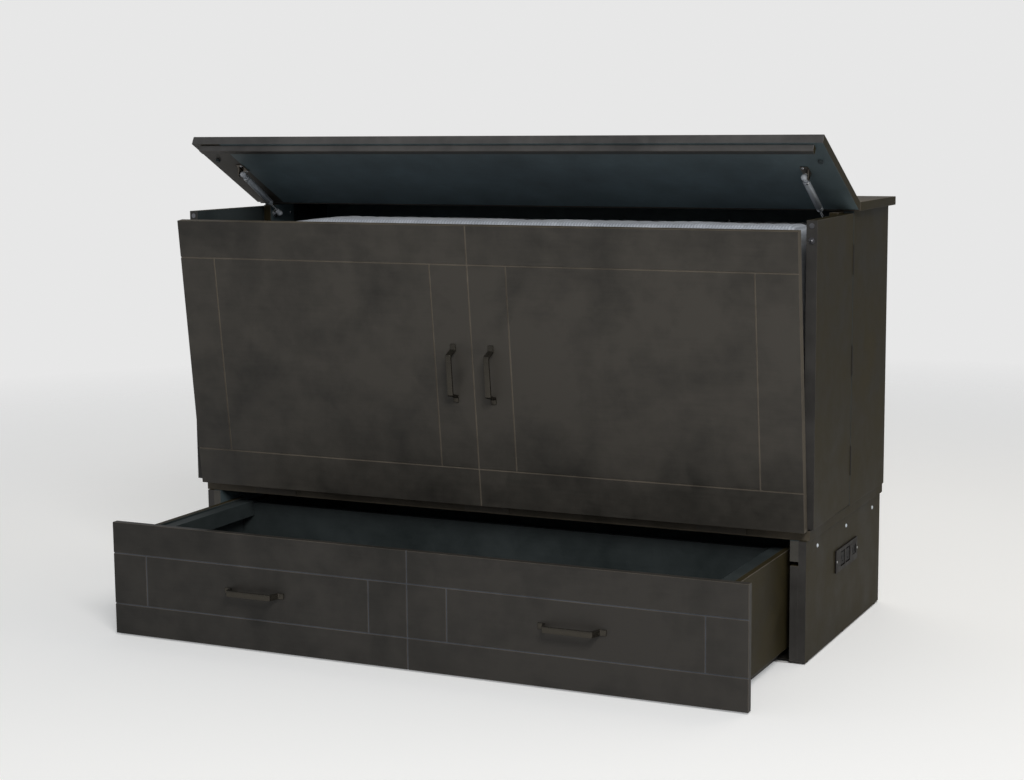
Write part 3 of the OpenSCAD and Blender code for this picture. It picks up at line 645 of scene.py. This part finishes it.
def make_materials():
    """Every finish by its key; a key that is a material slot also dresses CAD nodes."""
    made = {}
    for axis, name in enumerate("xyz"):
        for key, title, dark, light, options in GRAINED_WOODS:
            made[key + "_" + name] = stained(title + "_" + name, axis, dark, light, **options)
    for key, grain, dark, light, options in WOODS:
        made[key] = stained(key, grain, dark, light, **options)
    for key, title, colour, rough, options in METALS:
        made[key] = metal(title, colour, rough, **options)
    for key, title, colour, rough, gloss in PLASTICS:
        made[key] = plastic(title, colour, rough, gloss)
    # cover and tape: painted shade
    made["mattress_cover"] = knitted("mattress_cover", SHADED_COVER_DARK, SHADED_COVER_LIGHT, COVER_WEAVE)
    made["mattress_tape"] = knitted("mattress_tape", SHADED_TAPE_DARK, SHADED_TAPE_LIGHT, TAPE_WEAVE)
    return made


# ---- wood ------------------------------------------------------------------------------

WIDE_BOARDS = ("lid_board", "lid_fascia", "fixed_top", "deck_board")
UPRIGHT_BOARDS = (
    "cabinet_side_left",
    "cabinet_side_right",
    "wing_left_board",
    "wing_right_board",
    "side_stiles",
    "base_side_left",
    "base_side_right",
    "base_linings",
)
DEEP_BOARDS = ("drawer_side_left", "drawer_side_right")
INNER_WIDE = ("deck_cleats", "base_back", "cabinet_back", "rear_rails")
CAVITY_WIDE = ("drawer_back", "drawer_bottom")
INNER_DEEP = ("drawer_inner_rails",)
INNER_UPRIGHT = ("foot_deck_board", "foot_legs")
EASE = 1.2 * MM
FACE_EASE = 0.8 * MM
SQUARE_ON = 0.9
LID_BORDER_X = 0.745
SEAM_Y = -0.307
CLEAT_ENDS_Y = -0.4
FRONT_EDGED = (
    "wing_left_board",
    "wing_right_board",
    "base_side_left",
    "base_side_right",
    "base_linings",
)


def make_boards(finish):
    """Every board with eased edges and its own grain."""
    # The eased edges of the boards take a painted highlight.
    for node in WIDE_BOARDS:
        softened(node, EASE, [finish["stained_x"], finish["rubbed_x"]])
    for node in UPRIGHT_BOARDS:
        softened(node, EASE, [finish["side_z"], finish["rubbed_z"]])
    for node, face, groove in (
        ("front_panel_board", "stained_panel", "groove"),
        ("drawer_front", "shaded_drawer", "drawer_groove"),
    ):
        softened(node, FACE_EASE, [finish[face], finish["rubbed_x"], finish[groove]])
    for node in DEEP_BOARDS:
        softened(node, EASE, [finish["side_y"], finish["rubbed_y"]])
    # The boards inside the case take painted cool bounce light.
    for node in INNER_WIDE:
        softened(node, EASE, [finish["inner_x"]])
    # The drawer's back, bottom, inner rails and inner faces take painted cool shade.
    for node in CAVITY_WIDE:
        softened(node, EASE, [finish["cavity_x"]])
    for node in INNER_DEEP:
        softened(node, EASE, [finish["cavity_y"]])
    for side, sign in (("left", 1), ("right", -1)):
        repaint("drawer_side_%s_finished" % side, finish["cavity_y"], facing(X * sign))
    repaint("drawer_front_finished", finish["cavity_x"], facing(Y))
    # These take painted cool bounce light too.
    for node in INNER_UPRIGHT:
        softened(node, EASE, [finish["inner_z"]])


def facing(direction):
    """Chooses the faces that look along a direction."""
    return lambda normal, centre: normal.dot(direction) > SQUARE_ON


def repaint(name, material, chosen, cuts=()):
    """Give one more material to the chosen faces, after cutting the mesh across X at cuts."""
    piece = bpy.data.objects[name]
    index = len(piece.data.materials)
    piece.data.materials.append(material)
    mesh = bmesh.new()
    mesh.from_mesh(piece.data)
    for cut in cuts:
        everything = mesh.verts[:] + mesh.edges[:] + mesh.faces[:]
        place = Vector((cut, 0, 0))
        bmesh.ops.bisect_plane(mesh, geom=everything, dist=1e-6, plane_co=place, plane_no=X)
    for face in mesh.faces:
        if chosen(face.normal, face.calc_center_median()):
            face.material_index = index
    mesh.to_mesh(piece.data)
    mesh.free()


def paint_light_and_shade_inside(finish):
    """Faces that look into the case take painted light: a lighter blue-green for cool bounce light
    under the lid and on the inner boards, and a darker blue-green for the shade inside the wings
    and fixed sides and at their seam.
    """
    # The underside of the lid takes painted cool bounce light, all but a band at its left end.
    repaint(
        "lid_board_finished",
        finish["bounce_lit_under_lid"],
        lambda n, c: n.z < -SQUARE_ON and c.x > -LID_BORDER_X,
        (-LID_BORDER_X,),
    )
    # Inward faces of the wings and fixed sides take painted cool shade.
    for side, sign in (("left", 1), ("right", -1)):
        for board in ("wing_%s_board_finished", "cabinet_side_%s_finished"):
            repaint(board % side, finish["cavity_z"], facing(X * sign))
            repaint(board % side, finish["cavity_z"], shaded_seam)
    # Inward faces of the stiles and linings take painted cool bounce light.
    for board in ("side_stiles", "base_linings"):
        repaint(board + "_finished", finish["inner_z"], lambda n, c: n.x * c.x < -0.5)


def shaded_seam(normal, centre):
    """Chooses the edges where a wing meets the fixed side, which take painted shade in the gap."""
    return abs(centre.y - SEAM_Y) < 3 * MM and abs(normal.z) < SQUARE_ON


def stain_and_light_outer_edges(finish):
    """Board edges and outer faces that take another colour than the rest of their board, some of
    them painted light.
    """
    for board in ("lid_board", "lid_fascia"):
        repaint(board + "_finished", finish["stained_edge"], facing(-Y))
    for board in FRONT_EDGED:
        repaint(board + "_finished", finish["front_edge"], facing(-Y))
    repaint(
        "deck_cleats_finished",
        finish["end_grain"],
        lambda n, c: n.y < -SQUARE_ON and c.y < CLEAT_ENDS_Y,
    )
    for board in ("deck_board", "lid_board", "lid_fascia", "fixed_top"):
        repaint(board + "_finished", finish["side_y"], lambda n, c: abs(n.x) > SQUARE_ON)
    # The deck's front edge, shaded by the panel, is painted lighter: painted light.
    repaint("deck_board_finished", finish["lit_deck_edge"], facing(-Y))
    for board in ("cabinet_back", "base_back"):
        repaint(board + "_finished", finish["side_x"], facing(Y))
    # The upward faces take painted warm light from above.
    for board in ("fixed_top", "lid_board"):
        repaint(board + "_finished", finish["painted_lit_top"], facing(Z))
    # The panel's top and side faces take the same painted light.
    repaint(
        "front_panel_board_finished",
        finish["lit_deck_edge"],
        lambda n, c: abs(n.x) > SQUARE_ON or n.z > SQUARE_ON,
    )


# ---- pulls -----------------------------------------------------------------------------


PULL_WIDTH = 14 * MM
DRAWER_PULL_LENGTH = 162 * MM
PULL_FOOT, PULL_LEAN, PULL_THICK = 12 * MM, 10 * MM, 6 * MM


def pull_outline(length, reach):
    """Side view of a flat-bar pull: foot plates, sloping posts, bar. Points are (along, out)."""
    half = length / 2
    foot, lean, thick = PULL_FOOT, PULL_LEAN, PULL_THICK
    outer = [
        (half, 0.0),
        (half, 3.0 * MM),
        (half - foot - 1 * MM, 3.6 * MM),
        (half - foot - lean, reach),
        (-half + foot + lean, reach),
        (-half + foot + 1 * MM, 3.6 * MM),
        (-half, 3.0 * MM),
        (-half, 0.0),
    ]
    inner = [
        (-half + foot + 6 * MM, 0.0),
        (-half + foot + lean + 5 * MM, reach - thick),
        (half - foot - lean - 5 * MM, reach - thick),
        (half - foot - 6 * MM, 0.0),
    ]
    outer = rounded(outer, [1.0 * MM, 3.0 * MM, 4.5 * MM, 4.5 * MM, 3.0 * MM, 1.0 * MM])
    inner = rounded(inner, [3.5 * MM, 3.5 * MM])
    return outer + inner


def add_pull(mesh, centre, along, out, length, reach, width):
    """A pull whose feet stand on the plane through centre."""
    across = out.cross(along)
    outline = pull_outline(length, reach)
    rims = []
    for side in (-1, 1):
        spots = [centre + along * a + out * o + across * side * width / 2 for a, o in outline]
        rims.append([mesh.verts.new(s) for s in spots])
    count = len(outline)
    walls = []
    for i in range(count):
        j = (i + 1) % count
        walls.append(mesh.faces.new([rims[0][i], rims[0][j], rims[1][j], rims[1][i]]))
    caps = [mesh.faces.new(rims[0][::-1]), mesh.faces.new(rims[1])]
    bmesh.ops.recalc_face_normals(mesh, faces=walls + caps)
    rim = list(dict.fromkeys(e for cap in caps for e in cap.edges))
    bmesh.ops.bevel(
        mesh,
        geom=rim,
        offset=1.1 * MM,
        segments=3,
        profile=0.5,
        affect="EDGES",
        clamp_overlap=True,
    )


def make_pulls(name, node, along, centres, turned, material, length):
    """Two pulls of one node, built where the node is closed and turned back to rest."""
    low, high = local_box(node, turned.inverted())
    reach = high.y - low.y
    width = (high.z - low.z) if along.x else (high.x - low.x) - 2 * abs(centres[0].x)
    mesh = bmesh.new()
    for centre in centres:
        add_pull(mesh, centre, along, -Y, length, reach, width)
    piece = link_mesh(name, mesh)
    for face in piece.data.polygons:
        face.use_smooth = True
    piece.data.set_sharp_from_angle(angle=math.radians(40))
    piece.data.materials.append(material)
    stand_in(piece, node, turned=turned)


def local_box(node, turn):
    """The low and high corner of a CAD node after a turn."""
    spots = np.array([turn @ v.co for v in NODES[node].data.vertices])
    return Vector(spots.min(0)), Vector(spots.max(0))


def make_all_pulls(finish):
    """The pulls of the front panel and of the drawer."""
    bronze = finish["bronze_metal"]
    turn = closing("front_panel")
    low, high = local_box("door_pulls", turn)
    x, z = high.x - PULL_WIDTH / 2, (low.z + high.z) / 2
    centres = [Vector((side * x, high.y, z)) for side in (-1, 1)]
    length = high.z - low.z
    make_pulls("door_pull_bars", "door_pulls", Z, centres, turn.inverted(), bronze, length)

    still = Matrix.Identity(4)
    low, high = local_box("drawer_pulls", still)
    x, z = high.x - DRAWER_PULL_LENGTH / 2, (low.z + high.z) / 2
    centres = [Vector((side * x, high.y, z)) for side in (-1, 1)]
    make_pulls(
        "drawer_pull_bars", "drawer_pulls", X, centres, still, bronze, DRAWER_PULL_LENGTH
    )


# ---- gas struts ------------------------------------------------------------------------

TUBE_LENGTH = 152 * MM
ROD_LENGTH = 135 * MM
STRUT_LEAN = 0.7
SOCKET_RADIUS = 7.6 * MM
SOCKET_TURNS = [math.radians(a) for a in range(15, 121, 15)]
SOCKET = [(-SOCKET_RADIUS, 0)]
SOCKET += [(-SOCKET_RADIUS * math.cos(a), SOCKET_RADIUS * math.sin(a)) for a in SOCKET_TURNS]
SOCKET += [(12 * MM, 5.0 * MM), (17 * MM, 4.8 * MM), (17 * MM, 0)]
MOUTH = TUBE_LENGTH - 12 * MM


def tube_profile():
    """The tube from its rolled shoulder below the socket to its mouth round the rod."""
    wall, waist = 8.0 * MM, 7.3 * MM
    return [
        (15.5 * MM, 0),
        (15.5 * MM, 6.6 * MM),
        (16.5 * MM, wall),
        (21 * MM, wall),
        (21.6 * MM, waist),
        (22.4 * MM, waist),
        (23 * MM, wall),
        (MOUTH - 2.4 * MM, wall),
        (MOUTH - 1.8 * MM, waist),
        (MOUTH - 0.6 * MM, waist),
        (MOUTH, wall),
        (TUBE_LENGTH - 2.5 * MM, wall),
        (TUBE_LENGTH, 6.8 * MM),
        (TUBE_LENGTH, 5.8 * MM),
        (TUBE_LENGTH - 8 * MM, 5.8 * MM),
        (TUBE_LENGTH - 8 * MM, 0),
    ]


def make_struts(finish):
    """Tube with its socket and rings, and rod with its socket, on each side."""
    for side in ("left", "right"):
        upper = Vector(JOINTS[side + "_strut_tube_pivot"]["pos_m"])
        lower = Vector(JOINTS[side + "_strut_rod_pivot"]["pos_m"])
        down = Matrix.Rotation(math.radians(STRUT_LEAN), 3, X) @ (lower - upper).normalized()
        mesh = bmesh.new()
        lathe(mesh, SOCKET, upper, down, 1)
        lathe(mesh, tube_profile(), upper, down, 0)
        for start in (16.4 * MM, MOUTH + 0.6 * MM):
            ring = [(0, 8.02), (0.6, 8.4), (3.0, 8.4), (3.6, 8.02)]
            lathe(mesh, [(start + a * MM, r * MM) for a, r in ring], upper, down, 2)
        piece = link_mesh("strut_tube_%s_finished" % side, mesh)
        for name in ("strut_grey", "socket_plastic", "bright_steel"):
            piece.data.materials.append(finish[name])
        stand_in(piece, "strut_tube_" + side)

        mesh = bmesh.new()
        lathe(mesh, SOCKET, lower, -down, 1)
        rod = [
            (16 * MM, 0),
            (16 * MM, 4.2 * MM),
            (19 * MM, 4.2 * MM),
            (20 * MM, 2.3 * MM),
            (ROD_LENGTH, 2.3 * MM),
            (ROD_LENGTH, 0),
        ]
        lathe(mesh, rod, lower, -down, 0)
        piece = link_mesh("strut_rod_%s_finished" % side, mesh)
        for name in ("bright_steel", "socket_plastic"):
            piece.data.materials.append(finish[name])
        stand_in(piece, "strut_rod_" + side)


SCREW_HEAD = [(0, 3.6), (0.7, 3.4), (1.5, 2.4), (1.7, 1.5), (0.7, 1.3), (0.7, 0)]


def add_screw(mesh, place, out, size=1.0, index=0):
    """A domed screw head with a round recess, standing on a surface."""
    lathe(mesh, [(a * size * MM, r * size * MM) for a, r in SCREW_HEAD], place, out, index, 20)


def add_strip(mesh, outline, thickness, place, index=0):
    """A flat plate of the given outline, extruded along its normal and eased."""
    rims = [[mesh.verts.new(place(a, b, t)) for a, b in outline] for t in (0, thickness)]
    count = len(outline)
    faces = [mesh.faces.new(rims[0][::-1]), mesh.faces.new(rims[1])]
    for i in range(count):
        j = (i + 1) % count
        faces.append(mesh.faces.new([rims[0][i], rims[0][j], rims[1][j], rims[1][i]]))
    bmesh.ops.recalc_face_normals(mesh, faces=faces)
    rim = list(dict.fromkeys(e for f in faces[:2] for e in f.edges))
    eased = bmesh.ops.bevel(
        mesh, geom=rim, offset=0.35 * MM, segments=2, profile=0.5, affect="EDGES"
    )
    for face in set(faces + eased["faces"]):
        if face.is_valid:
            face.material_index = index


def oval(a0, a1, b0, b1, radius, steps=5):
    """A rectangle with rounded corners."""
    spots = []
    corners = ((a1, b1, 0), (a0, b1, 90), (a0, b0, 180), (a1, b0, 270))
    for a, b, start in corners:
        a -= math.copysign(radius, a - (a0 + a1) / 2)
        b -= math.copysign(radius, b - (b0 + b1) / 2)
        spots += arc(a, b, radius, start, start + 90, steps)
    return spots


STUD = [(-3.9, 0), (-3.2, 2.3), (0, 3.9), (3.2, 2.4), (4.5, 2.2), (9.5, 2.2), (9.5, 3.6)]
STUD += [(12, 3.6), (12, 0)]


def make_upper_mounts(finish):
    """Foot plate, upright ear and ball stud of each strut on the lid."""
    turn = closing("lid")
    high = local_box("strut_upper_mounts", turn)[1]
    mesh = bmesh.new()
    for side, sign in (("left", -1), ("right", 1)):
        ball = turn @ Vector(JOINTS[side + "_strut_tube_pivot"]["pos_m"])
        out, ear_x, top = abs(ball.x), ball.x + sign * 9 * MM, high.z
        plate = oval(ball.y - 24 * MM, ball.y + 16 * MM, out - 8 * MM, out + 12 * MM, 4 * MM)
        add_strip(mesh, plate, 2 * MM, lambda a, b, t: Vector((b * sign, a, top - 2 * MM + t)))
        ear = [(ball.y - 11 * MM, top - 1.5 * MM), (ball.y + 11 * MM, top - 1.5 * MM)]
        ear += arc(ball.y, ball.z, 7 * MM, 20, -200, 12)
        add_strip(mesh, ear, 3 * MM, lambda a, b, t: Vector((ear_x + sign * t, a, b)))
        for shift in (-18.5 * MM, 10.5 * MM):
            spot = Vector((ball.x - sign * 1 * MM, ball.y + shift, top - 2 * MM))
            add_screw(mesh, spot, -Z, 0.95, 1)
        lathe(mesh, [(a * MM, r * MM) for a, r in STUD], ball, X * sign, 1, 24)
    piece = link_mesh("strut_upper_mounts_finished", mesh)
    piece.data.materials.append(finish["ear_steel"])
    piece.data.materials.append(finish["bright_steel"])
    stand_in(piece, "strut_upper_mounts", turned=turn.inverted())


def dish_profile(along):
    """A dished plate at a distance along the ball's axis, with the ball and its neck."""
    return [
        (along, 0),
        (along, 13 * MM),
        (along - 2.2 * MM, 12.7 * MM),
        (along - 2.6 * MM, 11.6 * MM),
        (along - 2.2 * MM, 10.4 * MM),
        (along - 0.9 * MM, 9.2 * MM),
        (along - 0.9 * MM, 5.2 * MM),
        (along - 3.4 * MM, 4.2 * MM),
        (along - 4.2 * MM, 2.3 * MM),
        (3.2 * MM, 2.3 * MM),
        (0, 3.9 * MM),
        (-3.2 * MM, 2.3 * MM),
        (-3.9 * MM, 0),
    ]


CASE_SCREW = (-0.2526, 0.9889)
DISH_SCREW_CIRCLE = 7.3 * MM


def make_lower_mounts(finish):
    """Dished plate with its screws and ball stud of each strut on the case."""
    wall_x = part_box("strut_lower_mounts")[1].x
    mesh = bmesh.new()
    for side, sign in (("left", -1), ("right", 1)):
        ball = Vector(JOINTS[side + "_strut_rod_pivot"]["pos_m"])
        along = wall_x - abs(ball.x)
        lathe(mesh, dish_profile(along), ball, X * sign, 0, 36)
        for angle in (90, 210, 330):
            x = sign * (along - 0.9 * MM)
            y = DISH_SCREW_CIRCLE * math.cos(math.radians(angle))
            z = DISH_SCREW_CIRCLE * math.sin(math.radians(angle))
            add_screw(mesh, ball + Vector((x, y, z)), -X * sign, 0.5)
        add_screw(mesh, Vector((wall_x * sign, *CASE_SCREW)), -X * sign, 0.8)
    piece = link_mesh("strut_lower_mounts_finished", mesh)
    piece.data.materials.append(finish["bright_steel"])
    stand_in(piece, "strut_lower_mounts")


BOLT_SPOTS = ((-0.542, 0.260), (-0.303, 0.260), (-0.066, 0.260))
BOLT_HEAD = [(0, 4.8), (0.6, 4.7), (1.6, 3.9), (2.3, 2.6), (2.4, 1.9), (0.8, 1.7), (0.8, 0)]
BOLT_SHANK = [(-30, 0), (-30, 3), (-0.1, 3)]


def make_bolts(finish):
    """Domed bolts with a recess through the base sides."""
    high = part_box("base_bolts")[1]
    mesh = bmesh.new()
    for y, z in BOLT_SPOTS:
        for sign in (-1, 1):
            place = Vector((sign * (high.x - 2.4 * MM), y, z))
            for profile, sides in ((BOLT_SHANK, 20), (BOLT_HEAD, 12)):
                lathe(mesh, [(a * MM, r * MM) for a, r in profile], place, X * sign, 0, sides)
    piece = link_mesh("base_bolts_finished", mesh)
    piece.data.materials.append(finish["bolt_steel"])
    stand_in(piece, "base_bolts")


# ---- mattress --------------------------------------------------------------------------

SECTION_ROUND = 26 * MM
SECTION_STEP = 8 * MM
CROWN = 7 * MM
QUILT_PITCH = 84 * MM
QUILT_DEPTH = 6 * MM
RIB_PITCH = 42 * MM
RIB_DEPTH = 2.5 * MM
BORDER_PUCKER, FACE_PUCKER = 1.5 * MM, 1.0 * MM
TAPE_R = 4.2 * MM
SAG_FROM, SAG_RUN, SAG_DEPTH = -0.42, 0.33, 24 * MM
SETTLE = (0.0, 13 * MM, 16 * MM)
WIDER = (21 * MM, 4 * MM, 4 * MM)


def grid_box(half):
    """The six faces of a box as one closed quad grid."""
    mesh = bmesh.new()
    for axis in range(3):
        a, b = [k for k in range(3) if k != axis]
        na, nb = (max(4, round(2 * half[k] / SECTION_STEP)) for k in (a, b))
        for sign in (-1, 1):
            rows = []
            for i in range(na + 1):
                row = []
                for j in range(nb + 1):
                    spot = [0.0, 0.0, 0.0]
                    spot[axis] = sign * half[axis]
                    spot[a] = half[a] * (2 * i / na - 1)
                    spot[b] = half[b] * (2 * j / nb - 1)
                    row.append(mesh.verts.new(spot))
                rows.append(row)
            for i in range(na):
                for j in range(nb):
                    corners = [rows[i][j], rows[i + 1][j], rows[i + 1][j + 1], rows[i][j + 1]]
                    mesh.faces.new(corners).smooth = True
    bmesh.ops.remove_doubles(mesh, verts=mesh.verts, dist=1e-5)
    bmesh.ops.recalc_face_normals(mesh, faces=mesh.faces)
    return mesh


def stitch(distance, pitch):
    """1 on a stitch line and 0 half a pitch away, as padding rises between seams."""
    share = abs((distance / pitch) % 1.0 - 0.5) * 2
    return share**5


def sagging(x, z, half, settle):
    """How far a point sinks: the foam settles towards its top, most at the left end."""
    raised = max(0.0, min(1.0, (z / half[2] + 1) / 2)) ** 3
    left = max(0.0, min(1.0, (SAG_FROM - x) / SAG_RUN))
    return raised * (SAG_DEPTH * left * left * (3 - 2 * left) + settle)


def shape_section(p, half, seed, settle):
    """Move a point of a plain box onto the quilted, crowned foam section."""
    inner = [max(-h + SECTION_ROUND, min(h - SECTION_ROUND, c)) for c, h in zip(p, half)]
    out = Vector([c - i for c, i in zip(p, inner)])
    normal = out.normalized() if out.length > 1e-9 else Vector((0, 0, 1))
    place = Vector(inner) + normal * SECTION_ROUND
    u, v = p.x / half[0], p.z / half[2]
    rim = 1 - (1 - abs(u) ** 4) * (1 - abs(v) ** 4)
    facing = abs(normal.y)
    quilt = max(stitch(p.x + p.z, QUILT_PITCH), stitch(p.x - p.z, QUILT_PITCH))
    bed = CROWN * rim + QUILT_DEPTH * quilt * (1 - rim)
    run = p.x if abs(normal.z) > abs(normal.x) else p.z
    border = CROWN * (p.y / half[1]) ** 4 + RIB_DEPTH * stitch(run, RIB_PITCH)
    border += BORDER_PUCKER * (1 + noise.noise(Vector((run * 9, p.y * 12, seed))))
    depth = bed * facing**2 + border * (1 - facing**2)
    depth += FACE_PUCKER * (1 + noise.noise(Vector((p.x * 7, p.z * 7, seed + 5))))
    place -= normal * depth
    place.z -= sagging(p.x, p.z, half, settle)
    return place


def add_tape(mesh, half, y, settle):
    """The bound edge: a thin tube round the section's perimeter."""
    inset, corner, steps, around = CROWN + 4.5 * MM, SECTION_ROUND + 8 * MM, 8, 8
    w, h = half[0] - inset, half[2] - inset
    path = []
    for cx, cz, start in ((w, h, 0), (-w, h, 90), (-w, -h, 180), (w, -h, 270)):
        cx -= math.copysign(corner, cx)
        cz -= math.copysign(corner, cz)
        path += arc(cx, cz, corner, start, start + 90, steps)
    rings = []
    for i, (x, z) in enumerate(path):
        before, after = path[i - 1], path[(i + 1) % len(path)]
        tangent = Vector((after[0] - before[0], 0, after[1] - before[1])).normalized()
        side = tangent.cross(Y)
        angles = [2 * math.pi * k / around for k in range(around)]
        centre = Vector((x, y, z - sagging(x, z, half, settle)))
        spots = [centre + (side * math.cos(a) + Y * math.sin(a)) * TAPE_R for a in angles]
        rings.append([mesh.verts.new(s) for s in spots])
    for i, one in enumerate(rings):
        two = rings[(i + 1) % len(rings)]
        for k in range(around):
            m = (k + 1) % around
            face = mesh.faces.new([one[k], one[m], two[m], two[k]])
            face.smooth = True
            face.material_index = 1


def make_mattress(finish):
    """Three quilted foam sections with bound edges, folded and standing."""
    for seed, node in enumerate(("mattress_foot", "mattress_middle", "mattress_head")):
        low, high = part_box(node)
        centre, half = (low + high) / 2, (high - low) / 2 + Vector((WIDER[seed], 0, 0))
        mesh = grid_box(half)
        for vert in mesh.verts:
            vert.co = shape_section(vert.co.copy(), half, seed * 10, SETTLE[seed])
        for sign in (-1, 1):
            add_tape(mesh, half, sign * (half.y - CROWN - 6 * MM), SETTLE[seed])
        mesh.transform(Matrix.Translation(centre))
        piece = link_mesh(node + "_quilted", mesh)
        piece.data.materials.append(finish["mattress_cover"])
        piece.data.materials.append(finish["mattress_tape"])
        stand_in(piece, node)


# ---- all together ----------------------------------------------------------------------


OWN_FINISH = {
    "lid_hinge_fixed_leaves": "hinge_bronze",
    "lid_hinge_moving_leaves": "hinge_bronze",
    "wing_hinge_fixed_leaves": "hinge_bronze",
    "wing_left_hinge_leaves": "hinge_bronze",
    "wing_right_hinge_leaves": "hinge_bronze",
    # The panel hinge leaves carry the deck edge's painted light.
    "panel_hinge_fixed_leaves": "lit_brown_hinge",
    "panel_hinge_moving_leaves": "lit_brown_hinge",
    "foot_hinges": "hinge_bronze",
    "slide_outer_members": "hinge_bronze",
    "slide_middle_members": "hinge_bronze",
    "slide_inner_members": "hinge_bronze",
    "wing_left_catch": "satin_nickel",
    "wing_right_catch": "satin_nickel",
}


def dress_cad_nodes(finish):
    """Every CAD node that is still shown takes the finish of its slot."""
    for name, node in NODES.items():
        if node.hide_render:
            continue
        node.data.materials.clear()
        node.data.materials.append(finish[OWN_FINISH.get(name, SLOT_OF[name])])


make_camera()
make_world()
make_floor()
make_covered_floor()
make_lights()
finish = make_materials()
make_boards(finish)
paint_light_and_shade_inside(finish)
stain_and_light_outer_edges(finish)
make_all_pulls(finish)
make_struts(finish)
make_upper_mounts(finish)
make_lower_mounts(finish)
make_bolts(finish)
for trim in ("outlet_plate", "power_sockets", "usb_ports"):
    softened(trim, 0.5 * MM, [finish[SLOT_OF[trim]]])
make_mattress(finish)
dress_cad_nodes(finish)
